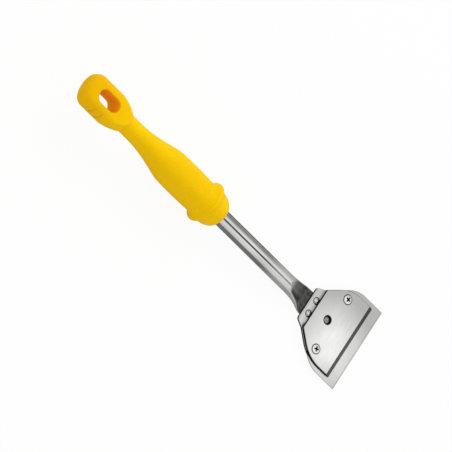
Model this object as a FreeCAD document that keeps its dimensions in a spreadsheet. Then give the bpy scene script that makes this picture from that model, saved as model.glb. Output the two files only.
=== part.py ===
import FreeCAD, Part
import math
import os
import Sketcher

# A grill scraper: a moulded handle, a steel tube pressed flat at its front end,
# and a head of plates that clamps a wide blade.
#
# Tool frame: the tube's axis is X, with its front end towards +X, and the
# handle's front face is X = 0. Z points out of the face that carries the screws.
# At the end the whole tool is tilted as it lies, that face up, on the handle's
# collar and on the back edge of the holder plate, with the floor at Z = 0.

Vector = FreeCAD.Vector

# Driving sizes in millimetres and degrees. "back" is a distance behind the
# handle's front face, "setback" one from the holder plate's top edge.
SIZES = [
    # the handle's round part
    ("dome_radius", 20.0, "ball-shaped front end of the handle"),
    ("dome_back", 14.6, "centre of that ball"),
    ("collar_back", 22.1, "crest of the collar"),
    ("collar_radius", 24.3, "radius of the collar at its crest"),
    ("crest_round", 3.6, "rounding of the crest"),
    ("collar_hollow", 11.0, "hollow curve between collar and ball"),
    ("groove_back", 33.0, "narrowest place behind the collar"),
    ("grip_back", 60.0, "thickest place of the grip"),
    ("grip_radius", 20.1, "radius of the grip there"),
    ("grip_crown", 700.0, "lengthwise curve of the grip"),
    ("grip_end_back", 79.0, "end of the grip's long curve"),
    ("taper_round", 42.0, "curve from the grip into the taper"),
    ("taper_angle", 12.2, "slope of the taper's side"),
    ("neck_hollow", 170.0, "hollow curve from the taper into the neck"),
    ("neck_radius", 11.2, "radius of the neck"),
    ("socket_depth", 92.0, "depth of the socket for the tube"),
    ("socket_clearance", 0.1, "gap round the tube in its socket"),
    # the flat eye at the handle's hanging end
    ("eye_back", 155.4, "shoulder of the eye"),
    ("eye_root", 12.5, "radius of the round shoulder at the neck"),
    ("shoulder_curve", 70.0, "lengthwise curve of that shoulder"),
    ("shoulder_reach", 20.5, "radius at which it levels out"),
    ("eye_half_width", 19.4, "half width of the eye"),
    ("eye_end_back", 219.0, "outermost point of the eye"),
    ("eye_end_curve", 34.0, "curve of the eye's end"),
    ("eye_corner", 11.5, "corner between the eye's side and its end"),
    ("eye_thickness", 24.4, "thickness of the eye"),
    ("eye_edge_round", 9.5, "rounding of the eye's long edges"),
    ("hole_back", 189.3, "middle of the hanging hole"),
    ("hole_length", 29.4, "length of the hanging hole"),
    ("hole_width", 15.4, "width of the hanging hole"),
    ("hole_rim_round", 1.6, "rounding of the hole's rims"),
    # the tube
    ("tube_diameter", 19.0, "outside diameter of the tube"),
    ("tube_wall", 1.2, "wall of the tube"),
    ("press_start", 111.5, "where the pressing of the tube starts"),
    ("press_end", 146.0, "where the tube is fully flat"),
    ("foot_end", 138.0, "where its underside has risen"),
    ("top_delay", 2.0, "how much later the top comes down, as an exponent"),
    ("press_dish", 2.2, "depth of the hollow that the press leaves in the top"),
    ("tongue_length", 20.0, "flat tongue under the holder plate"),
    ("tongue_corner", 5.0, "corners of the tongue's end"),
    # the holder plate
    ("head_start", 146.7, "top edge of the holder plate"),
    ("holder_length", 65.0, "holder plate, from top edge to lower edge"),
    ("holder_thickness", 2.5, "thickness of the holder plate"),
    ("strip_half_width", 20.0, "half width of its top edge"),
    ("strip_corner", 4.0, "corners of its top edge"),
    # the outline that clamp plate and holder plate share
    ("flare_half_width", 24.8, "half width at the clamp plate's top edge"),
    ("flare_angle", 39.0, "angle of the flaring side"),
    ("plate_shoulder", 44.0, "curve from the flare into the straight side"),
    ("plate_half_width", 45.2, "half width at the straight sides"),
    ("plate_edge_round", 0.6, "broken edge round a plate's outer face"),
    # the clamp plate
    ("clamp_setback", 9.9, "clamp plate's top edge"),
    ("clamp_length", 58.5, "clamp plate, from top edge to lower edge"),
    ("clamp_thickness", 2.8, "thickness of the clamp plate"),
    ("clamp_bevel", 5.3, "length of the bevel along its lower edge"),
    ("clamp_land", 0.4, "thickness left at the bevel's foot"),
    ("peg_window", 9.3, "hole in the clamp plate over the peg"),
    # the blade
    ("blade_setback", 23.3, "blade's top edge"),
    ("blade_length", 58.4, "blade, from top edge to cutting edge"),
    ("blade_half_width", 50.8, "half width of the blade"),
    ("blade_shoulder", 33.0, "curve of the blade's shoulders"),
    ("shoulder_drop", 31.0, "from the blade's top edge to its straight sides"),
    ("blade_thickness", 1.0, "thickness of the blade"),
    ("blade_bevel", 2.0, "length of the ground bevel at the cutting edge"),
    ("blade_edge", 0.25, "thickness left at the cutting edge"),
    # what joins the head
    ("rivet_setback", 7.8, "line of the rivets"),
    ("rivet_spacing", 16.6, "distance between the rivets"),
    ("rivet_shank", 4.8, "diameter of a rivet's shank"),
    ("rivet_head", 7.2, "diameter of a rivet's head"),
    ("rivet_rise", 1.0, "height of a rivet's head"),
    ("rivet_rim", 0.3, "height of the rim round a rivet's head"),
    ("screw_setback", 36.3, "line of the screws"),
    ("screw_spacing", 65.6, "distance between the screws"),
    ("screw_shank", 5.0, "thread diameter of a screw"),
    ("screw_head", 10.0, "diameter of a screw's pan head"),
    ("screw_rise", 2.9, "height of a screw's head"),
    ("screw_crown", 0.9, "part of that height that is domed"),
    ("head_edge_round", 0.8, "rounding round the screw head"),
    ("screw_length", 8.0, "length of a screw under its head"),
    ("screw_point", 0.6, "chamfer at the end of a screw"),
    ("cross_span", 5.0, "span of the cross recess"),
    ("cross_width", 1.1, "width of a wing of the recess"),
    ("cross_depth", 1.7, "depth of the recess"),
    ("left_turn", 20.0, "turn of the left screw's cross"),
    ("right_turn", 81.0, "turn of the right screw's cross"),
    ("peg_setback", 29.1, "middle of the locating peg"),
    ("peg_diameter", 7.0, "diameter of the locating peg"),
    ("peg_rise", 1.8, "height of the peg above the holder plate"),
    ("peg_chamfer", 0.5, "chamfer on the peg's top"),
    ("shank_clearance", 0.05, "gap round a rivet, peg or thread in its hole"),
    ("screw_clearance", 0.25, "gap round a screw in the clamp plate and blade"),
]

START, END, CENTRE = range(1, 4)   # the points of a line or an arc in a sketch
ORIGIN = (-START, START)           # a sketch's own origin


# Sheet

def make_sheet(doc):
    """Writes the driving sizes into a spreadsheet, one named cell each."""
    sheet = doc.addObject("Spreadsheet::Sheet", "Sizes")
    for row, (alias, number, meaning) in enumerate(SIZES, start=1):
        sheet.set(f"A{row}", meaning)
        sheet.set(f"B{row}", str(number))
        sheet.setAlias(f"B{row}", alias)
    doc.recompute()
    return sheet


def value(sheet, expression):
    """The number that an expression of the sheet's sizes stands for."""
    return float(sheet.evalExpression(expression))


def reader(sheet):
    """A short way to read one size by its name."""
    return lambda name: value(sheet, f"Sizes.{name}")


# Sketches

def new_body(doc, name):
    """An empty body whose label names its file."""
    body = doc.addObject("PartDesign::Body", name)
    body.Label = name
    return body


def origin_feature(body, role):
    """The body's own origin plane or axis with this role."""
    return next(f for f in body.Origin.OriginFeatures if f.Role == role)


def new_sketch(body, name, role, height=None):
    """A sketch on one of the body's origin planes, or at a height above it."""
    sketch = body.newObject("Sketcher::SketchObject", name)
    sketch.AttachmentSupport = [(origin_feature(body, role), "")]
    sketch.MapMode = "FlatFace"
    if height is not None:
        sketch.setExpression("AttachmentOffset.Base.z", height)
    return sketch


class Outline:
    """A closed outline, drawn from point to point and tied to the sizes."""

    def __init__(self, sheet, sketch, start=(0, 0)):
        self.sheet = sheet
        self.sketch = sketch
        self.here = Vector(*start)
        self.first = None
        self.last = None

    def _join(self, index, begin, finish, smooth):
        """Ties a new piece to the one before it, tangent if it is smooth."""
        if self.last is None:
            self.first = (index, begin)
        else:
            self.rule("Tangent" if smooth else "Coincident", *self.last, index, begin)
        self.last = (index, finish)
        return index

    def line_to(self, there, smooth=False):
        """A straight piece to a point."""
        there = Vector(*there)
        index = self.sketch.addGeometry(Part.LineSegment(self.here, there))
        self.here = there
        return self._join(index, START, END, smooth)

    def arc_to(self, there, centre, clockwise=False, smooth=True):
        """A round piece to a point, about a centre."""
        there, centre = Vector(*there), Vector(*centre)
        begin, finish = (there, self.here) if clockwise else (self.here, there)
        angles = [math.atan2(p.y - centre.y, p.x - centre.x) for p in (begin, finish)]
        circle = Part.Circle(centre, Vector(0, 0, 1), (self.here - centre).Length)
        index = self.sketch.addGeometry(Part.ArcOfCircle(circle, *angles))
        self.here = there
        ends = (END, START) if clockwise else (START, END)
        return self._join(index, *ends, smooth)

    def close(self):
        """Joins the last piece to the first."""
        self.rule("Coincident", *self.last, *self.first)

    def rule(self, kind, *items):
        """A rule without a number, such as Horizontal."""
        self.sketch.addConstraint(Sketcher.Constraint(kind, *items))

    def bind(self, expression, kind, *items):
        """A dimension that follows an expression of the sizes."""
        number = value(self.sheet, expression)
        index = self.sketch.addConstraint(Sketcher.Constraint(kind, *items, number))
        self.sketch.setExpression(f"Constraints[{index}]", expression)

    def lean(self, piece, expression):
        """The direction of a line, which follows an expression in degrees."""
        radians = math.radians(value(self.sheet, expression))
        index = self.sketch.addConstraint(Sketcher.Constraint("Angle", piece, radians))
        self.sketch.setExpression(f"Constraints[{index}]", f"({expression}) * 1 deg")

    def place(self, piece, point, x=None, y=None):
        """A point's distances from the origin, which follow expressions."""
        if x is not None:
            self.bind(x, "DistanceX", *ORIGIN, piece, point)
        if y is not None:
            self.bind(y, "DistanceY", *ORIGIN, piece, point)

    def circle(self, x, y, diameter):
        """A circle of its own, whose centre and diameter follow expressions."""
        centre = Vector(value(self.sheet, x), value(self.sheet, y))
        ring = Part.Circle(centre, Vector(0, 0, 1), value(self.sheet, diameter) / 2)
        index = self.sketch.addGeometry(ring)
        self.place(index, CENTRE, x, y)
        self.bind(diameter, "Diameter", index)


# Features

def pad(body, sketch, name, length, symmetric=False, reverse=False):
    """Extrudes a sketch by a length that follows an expression."""
    feature = body.newObject("PartDesign::Pad", name)
    feature.Profile = sketch
    feature.SideType = "Symmetric" if symmetric else "One side"
    feature.Reversed = reverse
    feature.setExpression("Length", length)
    return feature


def cut_through(body, sketch, name):
    """Cuts a sketch out of the body, both ways from the sketch's plane."""
    feature = body.newObject("PartDesign::Pocket", name)
    feature.Profile = sketch
    feature.SideType = "Symmetric"
    feature.Type = "ThroughAll"
    return feature


def revolve(body, sketch, name, axis):
    """Turns a sketch once round one of its own axes, H_Axis or V_Axis."""
    feature = body.newObject("PartDesign::Revolution", name)
    feature.Profile = sketch
    feature.ReferenceAxis = (sketch, [axis])
    feature.Angle = 360.0
    return feature


def turn_away(body, sketch, name, axis):
    """Cuts away what a sketch covers when it turns round one of its axes."""
    feature = body.newObject("PartDesign::Groove", name)
    feature.Profile = sketch
    feature.ReferenceAxis = (sketch, [axis])
    feature.Angle = 360.0
    return feature


def mirror(body, feature, name):
    """Repeats a feature on the other side of the tool's middle plane."""
    copy = body.newObject("PartDesign::Mirrored", name)
    copy.Originals = [feature]
    copy.MirrorPlane = (origin_feature(body, "XZ_Plane"), [""])
    body.Tip = copy
    return copy


def round_edges(body, base, name, radius, wanted):
    """Rounds the edges of a feature that pass a test."""
    body.Document.recompute()
    edges = enumerate(base.Shape.Edges, start=1)
    names = [f"Edge{number}" for number, edge in edges if wanted(edge)]
    feature = body.newObject("PartDesign::Fillet", name)
    feature.Base = (base, names)
    feature.setExpression("Radius", radius)
    return feature


def lies_at(edge, axis, height):
    """True where a whole edge lies at one height along axis x, y or z."""
    along = [getattr(vertex.Point, axis) for vertex in edge.Vertexes]
    along.append(getattr(edge.CenterOfMass, axis))
    return all(abs(place - height) < 0.01 for place in along)


# Handle

def meeting_point(a, radius_a, b, radius_b):
    """The upper point that lies radius_a from a and radius_b from b."""
    gap = b - a
    along = (radius_a ** 2 - radius_b ** 2 + gap.Length ** 2) / (2 * gap.Length)
    across = math.sqrt(radius_a ** 2 - along ** 2)
    unit = gap * (1 / gap.Length)
    normal = Vector(-unit.y, unit.x) if unit.x > 0 else Vector(unit.y, -unit.x)
    return a + unit * along + normal * across


def draw_grip(sheet, sketch):
    """Half the handle's round section: ball, collar, grip, taper and neck.

    Each curve runs smoothly into the next, so only the radii and a few
    stations are given, and the places where they touch follow from them.
    """
    size = reader(sheet)

    ball, ball_r = Vector(-size("dome_back"), 0), size("dome_radius")
    crest_r = size("crest_round")
    crest = Vector(-size("collar_back"), size("collar_radius") - crest_r)
    hollow_r = size("collar_hollow")
    hollow = meeting_point(ball, ball_r + hollow_r, crest, crest_r + hollow_r)
    ball_end = ball + (hollow - ball) * (ball_r / (ball_r + hollow_r))
    crest_front = crest + (hollow - crest) * (crest_r / (crest_r + hollow_r))

    crown_r = size("grip_crown")
    crown = Vector(-size("grip_back"), size("grip_radius") - crown_r)
    on_crown = lambda x: Vector(x, crown.y + math.sqrt(crown_r ** 2 - (x - crown.x) ** 2))
    groove = on_crown(-size("groove_back"))
    outward = (groove - crown) * (1 / crown_r)
    reach = groove - crest
    rear_r = (reach.Length ** 2 - crest_r ** 2) / (2 * (crest_r - outward.dot(reach)))
    rear = groove + outward * rear_r
    crest_rear = crest + (rear - crest) * (crest_r / (crest_r + rear_r))

    grip_end = on_crown(-size("grip_end_back"))
    bend_r = size("taper_round")
    bend = grip_end + (crown - grip_end) * (bend_r / crown_r)
    slope = math.radians(size("taper_angle"))
    side = Vector(-math.sin(slope), math.cos(slope))
    taper_start = bend + side * bend_r
    neck_r, flare_r = size("neck_radius"), size("neck_hollow")
    drop = side.y * (neck_r + flare_r) - flare_r - taper_start.dot(side)
    flare = Vector(drop / math.sin(slope), neck_r + flare_r)
    taper_end = flare - side * flare_r
    root = -size("eye_back") - size("eye_edge_round")

    draw = Outline(sheet, sketch)
    face = draw.line_to((0, math.sqrt(ball_r ** 2 - ball.x ** 2)))
    dome = draw.arc_to(ball_end, ball, smooth=False)
    dip = draw.arc_to(crest_front, hollow, clockwise=True)
    top = draw.arc_to(crest_rear, crest)
    draw.arc_to(groove, rear, clockwise=True)
    grip = draw.arc_to(grip_end, crown)
    shoulder = draw.arc_to(taper_start, bend)
    taper = draw.line_to(taper_end, smooth=True)
    waist = draw.arc_to((flare.x, neck_r), flare, clockwise=True)
    neck = draw.line_to((root, neck_r), smooth=True)
    end = draw.line_to((root, 0))
    draw.line_to((0, 0))
    draw.close()

    draw.place(face, START, "0", "0")
    draw.rule("Vertical", face)
    draw.place(dome, CENTRE, "-Sizes.dome_back", "0")
    draw.bind("Sizes.dome_radius", "Radius", dome)
    draw.bind("Sizes.collar_hollow", "Radius", dip)
    draw.place(top, CENTRE, "-Sizes.collar_back", "Sizes.collar_radius - Sizes.crest_round")
    draw.bind("Sizes.crest_round", "Radius", top)
    draw.place(grip, START, "-Sizes.groove_back")
    draw.place(grip, CENTRE, "-Sizes.grip_back", "Sizes.grip_radius - Sizes.grip_crown")
    draw.bind("Sizes.grip_crown", "Radius", grip)
    draw.place(grip, END, "-Sizes.grip_end_back")
    draw.bind("Sizes.taper_round", "Radius", shoulder)
    draw.lean(taper, "Sizes.taper_angle - 180")
    draw.bind("Sizes.neck_hollow", "Radius", waist)
    draw.rule("Horizontal", neck)
    draw.place(neck, END, "-Sizes.eye_back - Sizes.eye_edge_round", "Sizes.neck_radius")
    draw.rule("Vertical", end)
    draw.place(end, END, y="0")


def draw_eye(sheet, sketch):
    """Half the eye's outline: a straight side, a corner and a curved end."""
    size = reader(sheet)

    half, root_x = size("eye_half_width"), -size("eye_back")
    end_r, corner_r = size("eye_end_curve"), size("eye_corner")
    end = Vector(end_r - size("eye_end_back"), 0)
    offset = math.sqrt((end_r - corner_r) ** 2 - (half - corner_r) ** 2)
    corner = Vector(end.x - offset, half - corner_r)
    tip = end + (corner - end) * (end_r / (end_r - corner_r))

    draw = Outline(sheet, sketch, (root_x, 0))
    root = draw.line_to((root_x, half))
    side = draw.line_to((corner.x, half))
    bend = draw.arc_to(tip, corner)
    last = draw.arc_to((end.x - end_r, 0), end)
    middle = draw.line_to((root_x, 0))
    draw.close()

    draw.place(root, START, "-Sizes.eye_back", "0")
    draw.rule("Vertical", root)
    draw.rule("Horizontal", side)
    draw.place(side, START, y="Sizes.eye_half_width")
    draw.bind("Sizes.eye_corner", "Radius", bend)
    draw.bind("Sizes.eye_end_curve", "Radius", last)
    draw.place(last, CENTRE, "Sizes.eye_end_curve - Sizes.eye_end_back", "0")
    draw.rule("Horizontal", middle)


def draw_shoulder(sheet, sketch):
    """What is turned away round the eye's shoulder, from the neck outwards."""
    size = reader(sheet)

    root, reach = Vector(-size("eye_back"), size("eye_root")), size("shoulder_reach")
    radius = size("shoulder_curve")
    run = math.sqrt(radius ** 2 - (radius - reach + root.y) ** 2)
    level = Vector(root.x - run, reach)

    draw = Outline(sheet, sketch, root)
    face = draw.line_to((root.x, reach))
    rim = draw.line_to(level)
    curve = draw.arc_to(root, (level.x, reach - radius), clockwise=True)
    draw.close()

    draw.place(face, START, "-Sizes.eye_back", "Sizes.eye_root")
    draw.rule("Vertical", face)
    draw.place(face, END, y="Sizes.shoulder_reach")
    draw.rule("Horizontal", rim)
    draw.bind("Sizes.shoulder_curve", "Radius", curve)


def draw_hanging_hole(sheet, sketch):
    """The hanging hole: two half circles joined by straight sides."""
    size = reader(sheet)

    radius = size("hole_width") / 2
    reach = size("hole_length") / 2 - radius
    near, far = reach - size("hole_back"), -reach - size("hole_back")
    draw = Outline(sheet, sketch, (near, radius))
    upper = draw.line_to((far, radius))
    outer = draw.arc_to((far, -radius), (far, 0))
    draw.line_to((near, -radius), smooth=True)
    inner = draw.arc_to((near, radius), (near, 0))
    draw.close()

    draw.rule("Horizontal", upper)
    draw.bind("Sizes.hole_width / 2", "Radius", outer)
    half = "(Sizes.hole_length - Sizes.hole_width) / 2"
    draw.place(outer, CENTRE, f"-Sizes.hole_back - {half}", "0")
    draw.place(inner, CENTRE, f"-Sizes.hole_back + {half}", "0")


def make_handle(doc, sheet):
    """The moulded handle: round grip with a collar, neck, and a flat eye."""
    body = new_body(doc, "handle")
    size = reader(sheet)

    outline = new_sketch(body, "EyeOutline", "XY_Plane")
    draw_eye(sheet, outline)
    half = pad(body, outline, "HalfEye", "Sizes.eye_thickness", symmetric=True)
    eye = mirror(body, half, "Eye")
    face = size("eye_thickness") / 2
    rim = lambda edge: (
        (lies_at(edge, "z", face) or lies_at(edge, "z", -face))
        and not lies_at(edge, "x", -size("eye_back"))
    )
    round_edges(body, eye, "EyeEdges", "Sizes.eye_edge_round", rim)
    turned = new_sketch(body, "ShoulderSection", "XZ_Plane")
    draw_shoulder(sheet, turned)
    turn_away(body, turned, "Shoulder", "H_Axis")

    slot = new_sketch(body, "HangingHoleOutline", "XY_Plane")
    draw_hanging_hole(sheet, slot)
    hole = cut_through(body, slot, "HangingHole")
    near_hole = lambda edge: (
        abs(abs(edge.CenterOfMass.z) - face) < 0.01
        and abs(edge.CenterOfMass.y) <= size("hole_width") / 2 + 0.01
        and abs(edge.CenterOfMass.x + size("hole_back")) < size("hole_length") / 2
    )
    round_edges(body, hole, "HoleRims", "Sizes.hole_rim_round", near_hole)

    section = new_sketch(body, "GripSection", "XZ_Plane")
    draw_grip(sheet, section)
    revolve(body, section, "Grip", "H_Axis")

    mouth = new_sketch(body, "SocketMouth", "YZ_Plane")
    bore = "Sizes.tube_diameter + 2 * Sizes.socket_clearance"
    Outline(sheet, mouth).circle("0", "0", bore)
    socket = body.newObject("PartDesign::Pocket", "Socket")
    socket.Profile = mouth
    socket.setExpression("Length", "Sizes.socket_depth")
    return body


# Shaft

def ease(share):
    """A share from 0 to 1 that starts and ends gently."""
    share = min(share, 1)
    return share * share * (3 - 2 * share)


def tube_section(size, x, inset):
    """The tube's outline at a station, drawn an inset below its skin.

    Pressing bends the wall without stretching it. So each section is a flat
    oval whose middle line, in the wall, is as long as it was in the round
    tube. The underside is pressed up first and the top comes down later, to
    lie under the holder plate. The top is hollow where the press bites in.
    """
    radius, wall = size("tube_diameter") / 2, size("tube_wall")
    start, end = size("press_start"), size("press_end")
    share = max(x - start, 0) / (end - start)
    foot_share = max(x - start, 0) / (size("foot_end") - start)
    under_plate = -size("holder_thickness")
    tongue_foot = under_plate - 2 * wall
    top = radius + (under_plate - radius) * ease(share ** size("top_delay"))
    foot = -radius + (tongue_foot + radius) * ease(foot_share)
    dish = size("press_dish") * 27 / 4 * share * (1 - share) ** 2
    middle = (top + foot) / 2
    bend = (top - foot) / 2 - wall / 2
    flat = math.pi / 2 * (radius - wall / 2 - bend)
    reach = max(bend + wall / 2 - inset, 0.1)

    quarter = flat + math.pi / 2 * bend
    corner = []
    for step in range(11):
        run = quarter * math.sin(math.pi / 20 * step)
        angle = max(0, run - flat) / bend
        across = min(run, flat) + reach * math.sin(angle)
        corner.append((across, reach * math.cos(angle)))
    half_width = corner[-1][0]
    hollow = [(y, z - dish * (1 - (y / half_width) ** 2) ** 2) for y, z in corner]
    side = hollow + [(y, -z) for y, z in reversed(corner[:-1])]
    ring = side + [(-y, z) for y, z in reversed(side[1:-1])]
    curve = Part.BSplineCurve()
    curve.interpolate([Vector(x, y, middle + z) for y, z in ring], PeriodicFlag=True)
    return Part.Wire(curve.toShape())


def tube_volume(size, inset):
    """The space inside the tube's outline: a straight part and the ramp."""
    back, start, end = -size("socket_depth"), size("press_start"), size("press_end")
    mouth = Part.Face(tube_section(size, back, inset))
    straight = mouth.extrude(Vector(start - back, 0, 0))
    stations = [start + (end - start) * step / 10 for step in range(11)]
    ramp = Part.makeLoft([tube_section(size, x, inset) for x in stations], True)
    return straight.fuse(ramp)


def make_tongue(size):
    """The flat end of the tube, its two walls pressed onto each other."""
    wall = size("tube_wall")
    half = math.pi / 2 * (size("tube_diameter") / 2 - wall) + wall
    start, end = size("press_end"), size("head_start") + size("tongue_length")
    foot = -size("holder_thickness") - 2 * wall
    tongue = Part.makeBox(end - start, 2 * half, 2 * wall, Vector(start, -half, foot))
    corners = [
        edge for edge in tongue.Edges
        if lies_at(edge, "x", end) and lies_at(edge, "y", edge.CenterOfMass.y)
    ]
    tongue = tongue.makeFillet(size("tongue_corner"), corners)
    long_edges = [
        edge for edge in tongue.Edges
        if lies_at(edge, "y", half) or lies_at(edge, "y", -half)
    ]
    long_edges = [edge for edge in long_edges if not lies_at(edge, "x", edge.CenterOfMass.x)]
    return tongue.makeFillet(0.9 * wall, long_edges)


def make_shaft_tube(doc, sheet):
    """The steel tube, round in the handle and pressed flat at the head.

    The pressed form has no single sketch, so its solid is built from
    sections that follow one rule.
    """
    size = reader(sheet)
    tube = tube_volume(size, 0).cut(tube_volume(size, size("tube_wall")))
    tube = tube.fuse(make_tongue(size)).removeSplitter()
    radius = size("rivet_shank") / 2 + size("shank_clearance")
    x = size("head_start") + size("rivet_setback")
    for y in (-size("rivet_spacing") / 2, size("rivet_spacing") / 2):
        foot = Vector(x, y, -2 * size("tube_diameter"))
        hole = Part.makeCylinder(radius, 2 * size("tube_diameter"), foot)
        tube = tube.cut(hole)
    feature = doc.addObject("Part::Feature", "shaft_tube")
    feature.Label = "shaft_tube"
    feature.Shape = tube
    return feature


# Plates

def draw_plate(sheet, sketch, top, half_width, lower, strip=False):
    """Half a plate of the head, up to the side that the plates share.

    The side flares from the clamp plate's top edge, turns in one curve and
    ends straight. With a strip, the outline reaches up over the tube.
    """
    size = reader(sheet)
    number = lambda expression: value(sheet, expression)

    flare_x = "Sizes.head_start + Sizes.clamp_setback"
    begin = Vector(number(flare_x), size("flare_half_width"))
    slope, radius = math.radians(size("flare_angle")), size("plate_shoulder")
    centre_y = size("plate_half_width") - radius
    rise = (centre_y - begin.y) * math.cos(slope) + radius
    centre = Vector(begin.x + rise / math.sin(slope), centre_y)
    bend = centre + Vector(-math.sin(slope), math.cos(slope)) * radius

    draw = Outline(sheet, sketch, (number(top), 0))
    edge = draw.line_to((number(top), number(half_width)))
    if strip:
        draw.line_to(begin)
    flare = draw.line_to(bend)
    curve = draw.arc_to((centre.x, size("plate_half_width")), centre, clockwise=True)
    side = draw.line_to((number(lower), size("plate_half_width")), smooth=True)
    foot = draw.line_to((number(lower), 0))
    middle = draw.line_to((number(top), 0))
    draw.close()

    draw.place(edge, START, top, "0")
    draw.rule("Vertical", edge)
    draw.place(edge, END, y=half_width)
    if strip:
        draw.place(flare, START, flare_x, "Sizes.flare_half_width")
    draw.lean(flare, "Sizes.flare_angle")
    draw.bind("Sizes.plate_shoulder", "Radius", curve)
    draw.rule("Horizontal", side)
    draw.place(side, END, lower, "Sizes.plate_half_width")
    draw.rule("Vertical", foot)
    draw.rule("Horizontal", middle)


def draw_blade(sheet, sketch):
    """Half the blade: top edge, round shoulder, straight side, cutting edge."""
    size = reader(sheet)
    top = "Sizes.head_start + Sizes.blade_setback"
    lower = f"{top} + Sizes.blade_length"
    x, half, radius = value(sheet, top), size("blade_half_width"), size("blade_shoulder")
    drop = size("shoulder_drop")
    corner = half - radius + math.sqrt(radius ** 2 - drop ** 2)

    draw = Outline(sheet, sketch, (x, 0))
    edge = draw.line_to((x, corner))
    curve = draw.arc_to((x + drop, half), (x + drop, half - radius), clockwise=True, smooth=False)
    side = draw.line_to((value(sheet, lower), half), smooth=True)
    foot = draw.line_to((value(sheet, lower), 0))
    middle = draw.line_to((x, 0))
    draw.close()

    draw.place(edge, START, top, "0")
    draw.rule("Vertical", edge)
    draw.bind("Sizes.blade_shoulder", "Radius", curve)
    draw.place(curve, CENTRE, f"{top} + Sizes.shoulder_drop")
    draw.rule("Horizontal", side)
    draw.place(side, END, lower, "Sizes.blade_half_width")
    draw.rule("Vertical", foot)
    draw.rule("Horizontal", middle)


def bevel(body, sheet, name, tip, length, face, land):
    """Grinds the front of a plate's lower edge down to a land."""
    sketch = new_sketch(body, f"{name}Section", "XZ_Plane")
    x, run, top, foot = (value(sheet, item) for item in (tip, length, face, land))
    draw = Outline(sheet, sketch, (x - run, top))
    upper = draw.line_to((x, top))
    front = draw.line_to((x, foot))
    draw.line_to((x - run, top))
    draw.close()
    draw.place(upper, START, f"{tip} - ({length})", face)
    draw.rule("Horizontal", upper)
    draw.rule("Vertical", front)
    draw.place(front, END, tip, land)
    return cut_through(body, sketch, name)


def front_rim(sheet, face):
    """A test for edges that lie in a plate's front face."""
    height = value(sheet, face)
    return lambda edge: lies_at(edge, "z", height)


def draw_screw_holes(sheet, draw, diameter):
    """The two holes for the clamp screws."""
    x = "Sizes.head_start + Sizes.screw_setback"
    for y in ("-Sizes.screw_spacing / 2", "Sizes.screw_spacing / 2"):
        draw.circle(x, y, diameter)


def make_holder_plate(doc, sheet):
    """The plate under the blade, riveted to the tube and tapped for the screws."""
    body = new_body(doc, "holder_plate")
    outline = new_sketch(body, "HolderOutline", "XY_Plane")
    lower = "Sizes.head_start + Sizes.holder_length"
    draw_plate(sheet, outline, "Sizes.head_start", "Sizes.strip_half_width", lower, strip=True)
    half = pad(body, outline, "HalfHolder", "Sizes.holder_thickness", reverse=True)
    plate = mirror(body, half, "Holder")
    top, across = value(sheet, "Sizes.head_start"), value(sheet, "Sizes.strip_half_width")
    corner = lambda edge: (
        lies_at(edge, "x", top) and abs(abs(edge.CenterOfMass.y) - across) < 0.01
    )
    plate = round_edges(body, plate, "StripCorners", "Sizes.strip_corner", corner)
    round_edges(body, plate, "HolderRims", "Sizes.plate_edge_round", front_rim(sheet, "0"))

    holes = new_sketch(body, "HolderHoles", "XY_Plane")
    draw = Outline(sheet, holes)
    gap = "2 * Sizes.shank_clearance"
    rivet_x = "Sizes.head_start + Sizes.rivet_setback"
    for y in ("-Sizes.rivet_spacing / 2", "Sizes.rivet_spacing / 2"):
        draw.circle(rivet_x, y, f"Sizes.rivet_shank + {gap}")
    draw_screw_holes(sheet, draw, f"Sizes.screw_shank + {gap}")
    draw.circle("Sizes.head_start + Sizes.peg_setback", "0", f"Sizes.peg_diameter + {gap}")
    cut_through(body, holes, "HolderHolesCut")
    return body


def make_blade(doc, sheet):
    """The exchangeable blade, pinned by the peg and clamped by the screws."""
    body = new_body(doc, "blade")
    outline = new_sketch(body, "BladeOutline", "XY_Plane")
    draw_blade(sheet, outline)
    half = pad(body, outline, "HalfBlade", "Sizes.blade_thickness")
    mirror(body, half, "Blade")
    tip = "Sizes.head_start + Sizes.blade_setback + Sizes.blade_length"
    bevel(body, sheet, "GroundEdge", tip, "Sizes.blade_bevel", "Sizes.blade_thickness",
          "Sizes.blade_edge")

    holes = new_sketch(body, "BladeHoles", "XY_Plane")
    draw = Outline(sheet, holes)
    draw_screw_holes(sheet, draw, "Sizes.screw_shank + 2 * Sizes.screw_clearance")
    peg = "Sizes.peg_diameter + 2 * Sizes.screw_clearance"
    draw.circle("Sizes.head_start + Sizes.peg_setback", "0", peg)
    cut_through(body, holes, "BladeHolesCut")
    return body


def make_clamp_plate(doc, sheet):
    """The front plate, with its window over the peg and a bevelled lower edge."""
    body = new_body(doc, "clamp_plate")
    outline = new_sketch(body, "ClampOutline", "XY_Plane", "Sizes.blade_thickness")
    top = "Sizes.head_start + Sizes.clamp_setback"
    lower = f"{top} + Sizes.clamp_length"
    draw_plate(sheet, outline, top, "Sizes.flare_half_width", lower)
    half = pad(body, outline, "HalfClamp", "Sizes.clamp_thickness")
    plate = mirror(body, half, "Clamp")
    face = "Sizes.blade_thickness + Sizes.clamp_thickness"
    round_edges(body, plate, "ClampRims", "Sizes.plate_edge_round", front_rim(sheet, face))
    bevel(body, sheet, "LowerBevel", lower, "Sizes.clamp_bevel", face,
          "Sizes.blade_thickness + Sizes.clamp_land")

    holes = new_sketch(body, "ClampHoles", "XY_Plane")
    draw = Outline(sheet, holes)
    draw_screw_holes(sheet, draw, "Sizes.screw_shank + 2 * Sizes.screw_clearance")
    draw.circle("Sizes.head_start + Sizes.peg_setback", "0", "Sizes.peg_window")
    cut_through(body, holes, "ClampHolesCut")
    return body


# Fasteners

def stand_at(body, x, y):
    """Puts a body's own axis at a place on the head."""
    body.setExpression("Placement.Base.x", x)
    body.setExpression("Placement.Base.y", y)


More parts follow.
